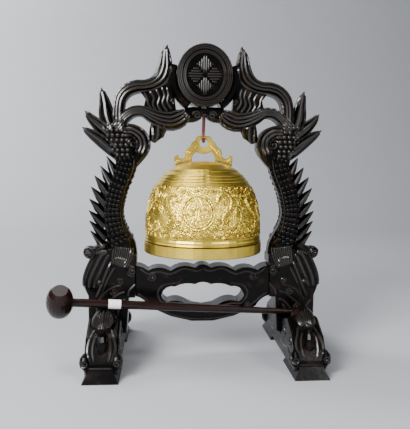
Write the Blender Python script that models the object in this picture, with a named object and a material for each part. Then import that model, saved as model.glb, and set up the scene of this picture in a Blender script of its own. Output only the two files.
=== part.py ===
"""Temple bell on a stand carved as two dragon-carps, with its mallet.

Metres, +Z up. X runs from the left upright to the right one, the stand's front faces -Y, and
the origin is on the floor, midway between the two feet.

The carving is drawn once, for the right-hand board, in millimetres from the stand's middle
plane and the floor. on_board() lays that drawing on the real board, which widens with the
bell and rises with the rail, the bell and its hook.
"""
import math

import bmesh
import bpy
import numpy as np
from mathutils import Matrix, Vector

MM = 0.001
SEAT_GAP = 0.3 * MM          # between two faces that touch
OVERRUN = 2 * MM             # how far a cutter runs past the face it cuts
RIGHT, LEFT = 1, -1
FRONT, REAR = -1, 1

# Bell
BELL_DIAMETER = 150.4 * MM
BELL_HEIGHT = 115 * MM
BELL_WALL = 3.4 * MM
BELL_WAIST_INSET = 1.9 * MM      # of the wall above the rim band
RIM_BAND_HEIGHT = 13 * MM
RIM_MOULDING_HEIGHT = 8 * MM
BELL_STRAIGHT_HEIGHT = 25.5 * MM     # where the shoulder's curve starts
SHOULDER_POWER = 2.4
BELL_SIDES = 44
SHOULDER_RINGS = 9

# Crown of the bell
CROWN_THICKNESS = 6 * MM
CROWN_EDGE = 0.7 * MM
CROWN_FOOT_REACH = 37 * MM
CROWN_RISE = 31.3 * MM           # from the dome's top to the crown's top
RING_HOLE_RADIUS = 5.6 * MM
RING_HOLE_BAR = 3.2 * MM         # left above the hole
CROWN_SCREW_OFFSET = 20 * MM
CROWN_SCREW_DIAMETER = 3 * MM
CROWN_SCREW_DEPTH = 6 * MM       # into the crown's foot
CROWN_SCREW_HEAD_DIAMETER = 6.6 * MM
CROWN_SCREW_HEAD_HEIGHT = 2.4 * MM
SCREW_HEAD_CLEARANCE = 0.6 * MM  # between a round head and the dome's hollow side

# Hook and the pin it hangs on
HOOK_WIRE = 4.2 * MM
HOOK_BOWL_RADIUS = 7.2 * MM      # of the wire's centre line
HOOK_DROP = 27 * MM              # from the pin to the centre of the bowl
HOOK_TIP_ANGLE = math.radians(38)
HOOK_LOOP_END_ANGLE = math.radians(25)
PIN_DIAMETER = 3.6 * MM
PIN_LENGTH = 28 * MM
SLOT_WIDTH = 7 * MM
SLOT_LENGTH = 22 * MM

# Uprights
BOARD_THICKNESS = 32 * MM
BELL_SIDE_CLEARANCE = 8.8 * MM   # from the bell's rim to the narrowest part of the arch
LEG_WIDTH = 47.5 * MM
LEG_SET_BACK = 13 * MM           # of the leg's inner side from the arch's narrowest part
FIN_SPIKES = 8
LEG_DEPTH = 0.985                # of the leg, as a share of the board's half thickness
LEG_EDGE = 1.2 * MM
CLOUD_DEPTH = 0.55               # of the cloud between the ribbons, as a share of the board's half thickness
CLOUD_EDGE = 2 * MM
TENON_LENGTH = 16 * MM           # of the leg's tenon
TENON_WIDTH = 28 * MM
TENON_THICKNESS = 16 * MM

# Medallion
MEDALLION_WIDTH = 70 * MM
MEDALLION_HEIGHT = 76.6 * MM
MEDALLION_THICKNESS = 36 * MM
MEDALLION_BORDER = 7 * MM
MEDALLION_FIELD_DEPTH = 1.2 * MM
MEDALLION_OVER_PIN = 7.9 * MM    # from the hook's pin to the medallion's lowest point
MEDALLION_SIDES = 40
MEDALLION_EDGE = 1.2 * MM
DOWEL_DIAMETER = 6 * MM
DOWEL_LENGTH = 20 * MM
DOWEL_UNDER_MIDDLE = 5 * MM      # below the medallion's centre

# Cross rail
RAIL_TOP = 118 * MM
RAIL_HEIGHT = 74 * MM
RAIL_THICKNESS = 30 * MM
BELL_OVER_RAIL = 16.5 * MM
RAIL_END_DEPTH = 40 * MM         # height of the rail where it meets the upright
RAIL_SHOULDER_SET_BACK = 2 * MM  # from the arch's narrowest part
RAIL_EDGE = 1 * MM
SCALLOP_RISE = 4.2 * MM          # of each scallop along the rail's top
END_SCALLOP_RISE = 1.4 * MM
END_SCALLOP_DROP = 1 * MM        # of the top's two ends below its highest line
WINDOW_LENGTH = 106 * MM
WINDOW_HEIGHT = 35 * MM
WINDOW_OVER_EDGE = 17 * MM       # from the rail's lowest point to the window
RAIL_TENON_LENGTH = 14 * MM
RAIL_TENON_HEIGHT = 26 * MM
RAIL_TENON_THICKNESS = 12 * MM
PEG_DIAMETER = 6 * MM
PEG_LENGTH = 22 * MM
RAIL_BULGE = 20 * MM             # of the rail's lower edge

# Feet
FOOT_LENGTH = 212 * MM
FOOT_WIDTH = 41.4 * MM
FOOT_BODY_WIDTH = 38 * MM
SADDLE_HEIGHT = 30 * MM
NECK_HEIGHT = 53 * MM
PLINTH_HEIGHT = 14 * MM
PLINTH_LENGTH = 66 * MM
PLINTH_SLOPE = 7 * MM            # how far its sides lean in
ARCH_UNDER_FOOT = 4 * MM
BUN_FROM_MIDDLE = 51 * MM
BUN_TOP = 72.5 * MM
BUN_WIDTH = 34 * MM
BUN_LENGTH = 50 * MM
BUN_HEIGHT = 50 * MM
VOLUTE_WIDTH = 12 * MM           # of each of the four round volutes at the foot's corners
VOLUTE_LENGTH = 19 * MM
VOLUTE_HEIGHT = 20 * MM
VOLUTE_PROUD = 3.2 * MM          # how far it stands out of the foot's side
VOLUTE_FROM_TOE = 16 * MM
VOLUTE_OVER_PLINTH = 7 * MM
NOSE_WIDTH = 15 * MM             # of the long nose between the bun and the ledge
NOSE_LENGTH = 26 * MM
NOSE_HEIGHT = 34 * MM
NOSE_FROM_TOE = 26 * MM
NOSE_OVER_PLINTH = 23 * MM
NECK_SEAT_LENGTH = 13 * MM       # of the level neck before and behind the board
FOOT_EDGE = 2.5 * MM
FOOT_SCREW_DIAMETER = 4 * MM
FOOT_SCREW_HEAD_DIAMETER = 8 * MM
FOOT_SCREW_HEAD_HEIGHT = 2.6 * MM
FOOT_SCREW_IN_TENON = 12 * MM
FOOT_SCREW_SPACING = 14 * MM
FOOT_SCREW_SINK = 0.5 * MM       # of the head in the foot's underside

# Mallet
HANDLE_THICK_DIAMETER = 10.2 * MM
HANDLE_THIN_DIAMETER = 6.8 * MM
HANDLE_PAST_RIGHT_FOOT = 7 * MM  # beyond the foot's middle
HANDLE_PAST_LEFT_FOOT = 36 * MM  # from the foot's middle to the head's side
HANDLE_TENON_DIAMETER = 7.4 * MM
HANDLE_TENON_LENGTH = 22 * MM
HEAD_DIAMETER = 32 * MM
HEAD_END_DIAMETER = 17.5 * MM
HEAD_LENGTH = 42 * MM
HEAD_TILT = math.radians(37)     # of the head's axis from upright, towards the front
HANDLE_SIDES = 12
HEAD_SIDES = 20
HEAD_STATIONS = 8
HEAD_SWELL_POWER = 0.7
HANDLE_INTO_HEAD_WAIST = 1.5 * MM    # how deep the handle's shoulder sits in the head's side

# Places that follow from the sizes
BELL_RADIUS = BELL_DIAMETER / 2
BELL_RIM = RAIL_TOP + BELL_OVER_RAIL
DOME_TOP = BELL_RIM + BELL_HEIGHT
CROWN_TOP = DOME_TOP + CROWN_RISE
RING_HOLE_TOP = CROWN_TOP - RING_HOLE_BAR
BOWL_INNER_RADIUS = HOOK_BOWL_RADIUS - HOOK_WIRE / 2
BOWL_OVER_HOLE_TOP = math.sqrt((BOWL_INNER_RADIUS - SEAT_GAP) ** 2 - (CROWN_THICKNESS / 2) ** 2)
BOWL_CENTRE = RING_HOLE_TOP + BOWL_OVER_HOLE_TOP
PIN_HEIGHT = BOWL_CENTRE + HOOK_DROP
MEDALLION_BOTTOM = PIN_HEIGHT + MEDALLION_OVER_PIN
MEDALLION_CENTRE = MEDALLION_BOTTOM + MEDALLION_HEIGHT / 2
ARCH_HALF_WIDTH = BELL_RADIUS + BELL_SIDE_CLEARANCE
LEG_INNER_SIDE = ARCH_HALF_WIDTH + LEG_SET_BACK
FOOT_FROM_MIDDLE = LEG_INNER_SIDE + LEG_WIDTH / 2
RAIL_SHOULDER = ARCH_HALF_WIDTH + RAIL_SHOULDER_SET_BACK
RAIL_END_BOTTOM = RAIL_TOP - RAIL_END_DEPTH
RAIL_TENON_LINE = RAIL_TOP - RAIL_END_DEPTH / 2
PEG_REAR_END = BOARD_THICKNESS / 2 - SEAT_GAP
WAIST_RADIUS = BELL_RADIUS - BELL_WAIST_INSET
DOWEL_LINE = MEDALLION_CENTRE - DOWEL_UNDER_MIDDLE
DOWEL_FROM_MIDDLE = MEDALLION_WIDTH / 2 * math.sqrt(1 - (2 * DOWEL_UNDER_MIDDLE / MEDALLION_HEIGHT) ** 2)

# The drawing's own marks in millimetres, which on_board() matches to the real ones
DRAWN_MEDALLION_SIDE = 35
DRAWN_ARCH = 84
DRAWN_SADDLE = 30
DRAWN_RAIL_END_BOTTOM = 78
DRAWN_RAIL_TOP = 118
DRAWN_PIN = 308
DRAWN_MEDALLION_BOTTOM = 316
DRAWN_MEDALLION_TOP = 392.6
DRAWN_CROWN_REACH = 37.2
DRAWN_CROWN_RISE = 31.3

# Section of a carved stroke, as shares of its half width and half depth
ROUNDED_SECTION = [(1, -0.4), (1, 0.4), (0.55, 1), (-0.55, 1), (-1, 0.4), (-1, -0.4), (-0.55, -1), (0.55, -1)]
RIDGED_SECTION = [(1, 0), (0.3, 1), (-0.3, 1), (-1, 0), (-0.3, -1), (0.3, -1)]


def clear_scene():
    for old in list(bpy.data.objects):
        bpy.data.objects.remove(old, do_unlink=True)


def finish(name, colour, roughness, metallic=0.0):
    """A plain surface: base colour, roughness and metallic value."""
    material = bpy.data.materials.new(name)
    material.use_nodes = True
    shader = material.node_tree.nodes["Principled BSDF"]
    shader.inputs["Base Color"].default_value = (*colour, 1)
    shader.inputs["Roughness"].default_value = roughness
    shader.inputs["Metallic"].default_value = metallic
    return material


def to_object(name, shape, surface=None, smooth_angle=None):
    """Turns the bmesh into an object with its faces pointing out."""
    bmesh.ops.recalc_face_normals(shape, faces=shape.faces)
    mesh = bpy.data.meshes.new(name)
    shape.to_mesh(mesh)
    shape.free()
    if smooth_angle is not None:
        mesh.shade_smooth()
        mesh.set_sharp_from_angle(angle=smooth_angle)
    obj = bpy.data.objects.new(name, mesh)
    bpy.context.collection.objects.link(obj)
    if surface is not None:
        mesh.materials.append(surface)
    return obj


def combine(body, tools, operation, solver="EXACT"):
    """Joins the tools to the body or cuts them out of it, one by one, and removes them."""
    for tool in tools:
        tool.hide_render = True
        tool.display_type = "WIRE"
        step = body.modifiers.new("combine", "BOOLEAN")
        step.operation = operation
        step.solver = solver
        step.object = tool
        bpy.context.view_layer.update()
        evaluated = body.evaluated_get(bpy.context.evaluated_depsgraph_get())
        mesh = bpy.data.meshes.new_from_object(evaluated)
        body.modifiers.clear()
        body.data = mesh
        bpy.data.objects.remove(tool, do_unlink=True)
    return body


def fuse(name, pieces, surface):
    """One solid out of overlapping pieces, named and given its surface."""
    body = combine(pieces[0], pieces[1:], "UNION")
    body.name = name
    body.data.materials.clear()
    body.data.materials.append(surface)
    return body


def block(low, high):
    """A box between two corners."""
    shape = bmesh.new()
    bmesh.ops.create_cube(shape, size=1)
    size = Vector(high) - Vector(low)
    middle = (Vector(high) + Vector(low)) / 2
    for vertex in shape.verts:
        vertex.co = Vector(part * whole for part, whole in zip(vertex.co, size)) + middle
    return to_object("block", shape)


def frustum(low, high, lean):
    """A box whose top is drawn in by lean on each of its sides, in X and in Y."""
    shape = bmesh.new()
    bmesh.ops.create_cube(shape, size=1)
    size = Vector(high) - Vector(low)
    middle = (Vector(high) + Vector(low)) / 2
    for vertex in shape.verts:
        inset = lean if vertex.co.z > 0 else (0, 0)
        vertex.co = Vector((
            middle.x + vertex.co.x * (size.x - 2 * inset[0]),
            middle.y + vertex.co.y * (size.y - 2 * inset[1]),
            middle.z + vertex.co.z * size.z,
        ))
    return to_object("frustum", shape)


def ball(centre, radii, sides=16, rings=10):
    shape = bmesh.new()
    bmesh.ops.create_uvsphere(shape, u_segments=sides, v_segments=rings, radius=1)
    for vertex in shape.verts:
        vertex.co = Vector(part * radius for part, radius in zip(vertex.co, radii)) + Vector(centre)
    return to_object("ball", shape)


def turned(name, profile, sides, place=None, surface=None, smooth_angle=math.radians(40)):
    """A solid of revolution about its own Z.

    The profile is a list of (radius, height) that starts and ends on the axis, where the
    radius is 0. place moves it from its own axis to where it stands.
    """
    place = place or Matrix.Identity(4)
    shape = bmesh.new()
    rings = []
    for radius, height in profile:
        if radius == 0:
            rings.append([shape.verts.new(place @ Vector((0, 0, height)))])
            continue
        ring = []
        for side in range(sides):
            angle = 2 * math.pi * (side + 0.5) / sides
            ring.append(shape.verts.new(place @ Vector((radius * math.cos(angle), radius * math.sin(angle), height))))
        rings.append(ring)
    for lower, upper in zip(rings, rings[1:]):
        for side in range(sides):
            corners = [lower[side % len(lower)], lower[(side + 1) % len(lower)],
                       upper[(side + 1) % len(upper)], upper[side % len(upper)]]
            shape.faces.new(list(dict.fromkeys(corners)))
    return to_object(name, shape, surface, smooth_angle)


def rod(name, start, end, radius, sides=16, surface=None):
    """A plain round rod from start to end."""
    start = Vector(start)
    way = Vector(end) - start
    place = Matrix.Translation(start) @ way.to_track_quat("Z", "Y").to_matrix().to_4x4()
    profile = [(0, 0), (radius, 0), (radius, way.length), (0, way.length)]
    return turned(name, profile, sides, place, surface)


def smooth_path(points, steps):
    """Points on a smooth curve through the given ones, steps of them to each stretch."""
    knots = np.array(points, dtype=float)
    padded = np.vstack([2 * knots[0] - knots[1], knots, 2 * knots[-1] - knots[-2]])
    path = []
    for index in range(1, len(padded) - 2):
        before, start, end, after = padded[index - 1:index + 3]
        for step in range(steps):
            t = step / steps
            path.append(0.5 * (
                2 * start + (end - before) * t
                + (2 * before - 5 * start + 4 * end - after) * t ** 2
                + (3 * start - before - 3 * end + after) * t ** 3
            ))
    path.append(knots[-1])
    return path


def stroke(points, depth, place, section=ROUNDED_SECTION, steps=2):
    """A carved stroke, swept along a smooth curve.

    Each point is (across, up, half width) in millimetres. depth is the stroke's half depth in
    millimetres, or a pair from its first point to its last. place(across, up, depth) puts a
    point of the drawing in space.
    """
    start_depth, end_depth = depth if isinstance(depth, tuple) else (depth, depth)
    stations = smooth_path(points, steps)
    shape = bmesh.new()
    rings = []
    for index, (across, up, half_width) in enumerate(stations):
        before = stations[max(index - 1, 0)]
        after = stations[min(index + 1, len(stations) - 1)]
        heading = math.atan2(after[1] - before[1], after[0] - before[0])
        half_depth = start_depth + (end_depth - start_depth) * index / (len(stations) - 1)
        ring = []
        for sideways, outward in section:
            reach = sideways * max(half_width, 0.5)
            ring.append(shape.verts.new(place(
                across - reach * math.sin(heading),
                up + reach * math.cos(heading),
                outward * half_depth,
            )))
        rings.append(ring)
    for ring, following in zip(rings, rings[1:]):
        for corner in range(len(section)):
            beside = (corner + 1) % len(section)
            shape.faces.new([ring[corner], ring[beside], following[beside], following[corner]])
    shape.faces.new(rings[0])
    shape.faces.new(rings[-1])
    return to_object("stroke", shape)


def slab(outline, half_depth, place, edge=0.0):
    """A board sawn to an outline in millimetres, with its edges taken off by edge on both faces."""
    shape = bmesh.new()
    front = [shape.verts.new(place(across, up, -half_depth)) for across, up in outline]
    back = [shape.verts.new(place(across, up, half_depth)) for across, up in outline]
    shape.faces.new(front)
    shape.faces.new(list(reversed(back)))
    for index in range(len(outline)):
        beside = (index + 1) % len(outline)
        shape.faces.new([front[index], back[index], back[beside], front[beside]])
    bmesh.ops.recalc_face_normals(shape, faces=shape.faces)
    if edge:
        rims = [side for side in shape.edges if len(side.link_faces[0].verts) > 4 or len(side.link_faces[1].verts) > 4]
        bmesh.ops.bevel(shape, geom=rims, offset=edge, segments=1, affect="EDGES", clamp_overlap=True)
    return to_object("slab", shape)


def arc(start, end, bulge, steps):
    """Points from start up to, not including, end on an arc that bulges to the left of its way."""
    start = np.array(start, dtype=float)
    end = np.array(end, dtype=float)
    way = end - start
    left = np.array([-way[1], way[0]]) / np.hypot(*way)
    points = []
    for step in range(steps):
        t = step / steps
        points.append(tuple(start + way * t + left * bulge * 4 * t * (1 - t)))
    return points


def scallops(marks, steps):
    """An outline through the marks (across, up, bulge of the arc to the next mark)."""
    outline = []
    for (across, up, bulge), (next_across, next_up, _) in zip(marks, marks[1:] + marks[:1]):
        outline += arc((across, up), (next_across, next_up), bulge, steps if bulge else 1)
    return outline


def on_board(side):
    """Places a point of the carving's drawing on the left or right board."""
    drawn_across = [0, DRAWN_MEDALLION_SIDE, DRAWN_ARCH, 2 * DRAWN_ARCH]
    real_across = [0, MEDALLION_WIDTH / 2, ARCH_HALF_WIDTH, ARCH_HALF_WIDTH + DRAWN_ARCH * MM]
    drawn_up = [0, DRAWN_SADDLE, DRAWN_RAIL_END_BOTTOM, DRAWN_RAIL_TOP, DRAWN_PIN, DRAWN_MEDALLION_BOTTOM,
                DRAWN_MEDALLION_TOP]
    real_up = [0, SADDLE_HEIGHT, RAIL_END_BOTTOM, RAIL_TOP, PIN_HEIGHT, MEDALLION_BOTTOM,
               MEDALLION_BOTTOM + MEDALLION_HEIGHT]

    def place(across, up, depth):
        x = np.interp(abs(across), drawn_across, real_across)
        z = np.interp(up, drawn_up, real_up)
        return Vector((side * math.copysign(x, across), depth * BOARD_THICKNESS / 2, z))

    return place


def medallion_outline(margin=0.0):
    """The medallion's oval, made larger all round by margin, as (x, z) points."""
    points = []
    for side in range(MEDALLION_SIDES):
        angle = 2 * math.pi * side / MEDALLION_SIDES
        points.append((
            (MEDALLION_WIDTH / 2 + margin) * math.cos(angle),
            MEDALLION_CENTRE + (MEDALLION_HEIGHT / 2 + margin) * math.sin(angle),
        ))
    return points


def in_space(x, z, y):
    """Places a point that is already real: across, up and depth in metres."""
    return Vector((x, y, z))


def tail_strokes(place):
    """The forked tail: two ribbons, a leaf, the curl, and the band and lobe that hold the medallion."""
    upper_ribbon = [(106, 292, 8), (106, 314, 7), (103, 327, 7.5), (95, 336, 7.8), (84, 340.5, 8), (73, 341.5, 7.4),
                    (62, 345, 8.5), (53, 353, 10.5), (49, 365, 9.6), (48.5, 378, 6), (46.4, 391.5, 0.5)]
    lower_ribbon = [(110, 288, 7), (99, 302, 6.6), (88, 309.5, 6.4), (76, 310, 6.6), (64, 304, 9), (52, 299.5, 11.3),
                    (40, 298.5, 12.2), (29, 303, 11.5), (22, 309, 6)]
    leaf = [(56, 293, 11), (60, 283, 9.5), (66, 273, 4)]
    curl = [(100, 286, 8), (89, 286, 8), (79, 279, 9), (76, 268, 9), (80, 257, 8), (90, 246, 8)]
    cloud = [(79, 333), (73, 325), (76, 313), (60, 307), (46, 304), (35, 310), (38, 336), (41, 352), (46, 352),
             (52, 344), (64, 337)]
    lobe = [(-2, 311.5, 4.5), (6, 309, 7.5), (14, 307, 9.5), (24, 306, 9)]
    band = []
    for angle in np.radians(np.linspace(-60, 17, 8)):
        band.append((39.5 * math.cos(angle), 354.3 + 42.6 * math.sin(angle), 5))
    return [
        stroke(lower_ribbon, 0.86, place),
        stroke(upper_ribbon, (0.84, 0.5), place),
        stroke(leaf, (0.7, 0.4), place, RIDGED_SECTION),
        stroke(curl, 0.9, place),
        slab(cloud, CLOUD_DEPTH, place, CLOUD_EDGE),
        stroke(lobe, 0.95, place),
        stroke(band, 0.92, place, steps=1),
    ]


def body_strokes(place):
    """The scaly body from the knot of the tail down to the gills."""
    body = [(108, 297, 8), (105, 284, 15), (98, 264, 16), (96, 248, 13.5), (101, 232, 13), (108, 214, 12.6), (112, 199, 12.6),
            (114, 185, 12), (112, 169, 12.6), (108, 155, 15), (103, 141, 17.5), (102, 128, 18)]
    return [stroke(body, 1, place)]


def point_along(path, share):
    """The point at a share of the way along a path of evenly spaced points."""
    position = share * (len(path) - 1)
    start = min(int(position), len(path) - 2)
    return path[start] + (path[start + 1] - path[start]) * (position - start)


def fin_strokes(place):
    """The back fin, a row of evenly spaced spikes, and the three long spikes at the tail's knot."""
    tips = smooth_path([(122, 254), (139, 225), (144.5, 190), (143, 159.5)], 7)
    roots = smooth_path([(110, 229), (120, 200), (124, 170), (120, 134)], 7)
    strokes = []
    for spike in range(FIN_SPIKES):
        tip = point_along(tips, spike / (FIN_SPIKES - 1))
        root = point_along(roots, spike / (FIN_SPIKES - 1))
        points = [(*root, 7), (*(tip + root) / 2, 5.5), (*tip, 0.5)]
        strokes.append(stroke(points, (0.62, 0.2), place, RIDGED_SECTION, 1))
    long_spikes = [
        [(112, 280, 9), (121, 303, 10), (123.5, 320, 6.5), (128, 338.5, 0.5)],
        [(112, 276, 8), (128, 289, 8.5), (139, 299, 5.5), (148.3, 309.9, 0.5)],
        [(106, 254, 7), (116, 263, 8), (128, 273, 8), (141, 282, 5), (152, 289.7, 0.5)],
    ]
    for depth, points in zip((0.8, 0.74, 0.77), long_spikes):
        strokes.append(stroke(points, (depth, 0.25), place, RIDGED_SECTION))
    return strokes


def head_strokes(place):
    """The dragon's head, face down: the leg behind it, the horn and its curled end, the snout and the mane."""
    leg_outline = [(97, DRAWN_SADDLE), (144.5, DRAWN_SADDLE), (144.5, 78), (142, 104), (132, 124), (120, 138),
                   (100, 142), (84, 130), (84, 76), (94, 76)]
    horn = [(120, 136, 6), (128, 131, 8.5), (136, 116, 9.6), (142, 101, 9.2), (143.6, 89, 8), (142.5, 79, 3.5)]
    curled_end = [(119, 138, 4.5), (127, 138.5, 4), (136, 136, 4.5), (144, 132, 8)]
    snout = [(116, 118, 9), (124, 102, 9), (131, 88, 8), (134, 77, 5)]
    mane = [(104, 128, 12), (105, 114, 12), (100, 104, 9), (95, 99, 6)]
    volute = ball(place(144, 132, 0), (8.5 * MM, BOARD_THICKNESS * 0.4, 8.5 * MM), 14, 8)
    return [
        slab(leg_outline, LEG_DEPTH, place, LEG_EDGE),
        stroke(horn, (1.12, 0.94), place),
        stroke(curled_end, 0.72, place),
        volute,
        stroke(snout, (1.05, 1.18), place),
        stroke(mane, (1.1, 1.06), place),
    ]


def upright(side, surface):
    """One carved board with its tenon, its seat for the medallion, the hook's slot and its mortise."""
    place = on_board(side)
    leg = side * FOOT_FROM_MIDDLE
    tenon = block(
        (leg - TENON_WIDTH / 2, -TENON_THICKNESS / 2, SADDLE_HEIGHT - TENON_LENGTH),
        (leg + TENON_WIDTH / 2, TENON_THICKNESS / 2, SADDLE_HEIGHT + OVERRUN),
    )
    pieces = head_strokes(place) + body_strokes(place) + tail_strokes(place) + fin_strokes(place) + [tenon]
    board = fuse("right_upright" if side == RIGHT else "left_upright", pieces, surface)
    across = SEAT_GAP / 2
    beyond = 2 * RAIL_SHOULDER
    bore_start = (0, 0, DOWEL_LINE)
    bore_end = (side * (DOWEL_FROM_MIDDLE + DOWEL_LENGTH / 2 + SEAT_GAP), 0, DOWEL_LINE)
    cutters = [
        slab(medallion_outline(SEAT_GAP), MEDALLION_THICKNESS, in_space),
        side_block(side, -beyond, across, MEDALLION_THICKNESS, 0, 2 * MEDALLION_CENTRE),
        side_block(side, -OVERRUN, RAIL_SHOULDER, MEDALLION_THICKNESS, 0, RAIL_TOP + OVERRUN),
        side_block(side, 0, RAIL_SHOULDER + RAIL_TENON_LENGTH + SEAT_GAP, RAIL_TENON_THICKNESS / 2 + SEAT_GAP,
                   RAIL_TENON_LINE - RAIL_TENON_HEIGHT / 2 - SEAT_GAP,
                   RAIL_TENON_LINE + RAIL_TENON_HEIGHT / 2 + SEAT_GAP),
        side_block(side, -OVERRUN, SLOT_WIDTH / 2, SLOT_LENGTH / 2, PIN_HEIGHT - HOOK_DROP, MEDALLION_CENTRE),
        rod("bore", (0, 0, PIN_HEIGHT), (side * (PIN_LENGTH / 2 + SEAT_GAP), 0, PIN_HEIGHT),
            PIN_DIAMETER / 2 + SEAT_GAP),
        rod("bore", bore_start, bore_end, DOWEL_DIAMETER / 2 + SEAT_GAP),
        peg(side, SEAT_GAP),
    ]
    cutters += [foot_screw(side, end, SEAT_GAP) for end in (LEFT, RIGHT)]
    return combine(board, cutters, "DIFFERENCE", "MANIFOLD")


def side_block(side, inner, outer, half_depth, low, high):
    """A box on one side of the middle plane, from inner to outer across."""
    near, far = sorted((side * inner, side * outer))
    return block((near, -half_depth, low), (far, half_depth, high))


def medallion(surface):
    """The oval drum, with a raised border round a sunk field on both faces."""
    drum = slab(medallion_outline(), MEDALLION_THICKNESS / 2, in_space, MEDALLION_EDGE)
    cutters = []
    for face in (FRONT, REAR):
        past = MEDALLION_THICKNESS / 2 + OVERRUN
        sink_depth = OVERRUN + MEDALLION_FIELD_DEPTH
        middle = face * (past - sink_depth / 2)

        def on_face(x, z, y, middle=middle):
            return Vector((x, middle + y, z))

        cutters.append(slab(medallion_outline(-MEDALLION_BORDER), sink_depth / 2, on_face))
    for side in (RIGHT, LEFT):
        start = (side * (DOWEL_FROM_MIDDLE - DOWEL_LENGTH / 2 - SEAT_GAP), 0, DOWEL_LINE)
        end = (side * MEDALLION_WIDTH, 0, DOWEL_LINE)
        cutters.append(rod("bore", start, end, DOWEL_DIAMETER / 2 + SEAT_GAP))
    drum = combine(drum, cutters, "DIFFERENCE")
    drum.name = "medallion"
    drum.data.materials.clear()
    drum.data.materials.append(surface)
    return drum


def medallion_dowel(side, surface):
    name = "medallion_dowel_right" if side == RIGHT else "medallion_dowel_left"
    start = (side * (DOWEL_FROM_MIDDLE - DOWEL_LENGTH / 2), 0, DOWEL_LINE)
    end = (side * (DOWEL_FROM_MIDDLE + DOWEL_LENGTH / 2), 0, DOWEL_LINE)
    return rod(name, start, end, DOWEL_DIAMETER / 2, surface=surface)


def peg(side, clearance=0.0, surface=None):
    """The peg through a tenon of the rail, driven in from the rear, or its hole with a clearance."""
    name = "rail_peg_right" if side == RIGHT else "rail_peg_left"
    across = side * (RAIL_SHOULDER + RAIL_TENON_LENGTH / 2)
    rear = BOARD_THICKNESS if clearance else PEG_REAR_END
    front = PEG_REAR_END - PEG_LENGTH - clearance
    return rod(name, (across, front, RAIL_TENON_LINE), (across, rear, RAIL_TENON_LINE), PEG_DIAMETER / 2 + clearance,
               surface=surface)


def cross_rail(surface):
    """The scalloped rail with its window, and a tenon at each end."""
    reach = RAIL_SHOULDER - SEAT_GAP
    low = RAIL_TOP - RAIL_HEIGHT
    spring = low + RAIL_BULGE
    valleys = [(0.82, 7.5), (0.485, 8), (0.122, 4)]
    end_height = RAIL_TOP - END_SCALLOP_DROP
    top = [(reach, end_height, -END_SCALLOP_RISE)]
    for share, drop in valleys:
        top.append((share * reach, RAIL_TOP - drop * MM, -SCALLOP_RISE))
    top += [(-across, up, -SCALLOP_RISE) for across, up, _ in reversed(top[1:])] + [(-reach, end_height, 0)]
    top[-2] = (*top[-2][:2], -END_SCALLOP_RISE)
    bottom = [
        (-reach, RAIL_END_BOTTOM, 2.5 * MM),
        (-0.8 * reach, spring, -RAIL_BULGE),
        (0.8 * reach, spring, 2.5 * MM),
        (reach, RAIL_END_BOTTOM, 0),
    ]
    rail = slab(scallops(top + bottom, 5), RAIL_THICKNESS / 2, in_space, RAIL_EDGE)
    tenons = [
        side_block(side, reach - OVERRUN, RAIL_SHOULDER + RAIL_TENON_LENGTH, RAIL_TENON_THICKNESS / 2,
                   RAIL_TENON_LINE - RAIL_TENON_HEIGHT / 2, RAIL_TENON_LINE + RAIL_TENON_HEIGHT / 2)
        for side in (RIGHT, LEFT)
    ]
    rail = fuse("cross_rail", [rail] + tenons, surface)
    window = slab(window_outline(low + WINDOW_OVER_EDGE), RAIL_THICKNESS, in_space)
    return combine(rail, [window] + [peg(side, SEAT_GAP) for side in (RIGHT, LEFT)], "DIFFERENCE")


def window_outline(sill):
    """The long window: five scallops over it, and a dip between two bumps under it."""
    half = WINDOW_LENGTH / 2
    marks = [
        (1, 0.52, -4.5), (0.67, 0.83, -2.4), (0.19, 0.91, -3), (-0.19, 0.91, -2.4), (-0.67, 0.83, -4.5),
        (-1, 0.52, -1.5), (-0.86, 0.25, 2), (-0.5, 0.26, -9), (0.5, 0.26, 2), (0.86, 0.25, -1.5),
    ]
    return scallops([(share * half, sill + rise * WINDOW_HEIGHT, bulge * MM) for share, rise, bulge in marks], 4)


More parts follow.
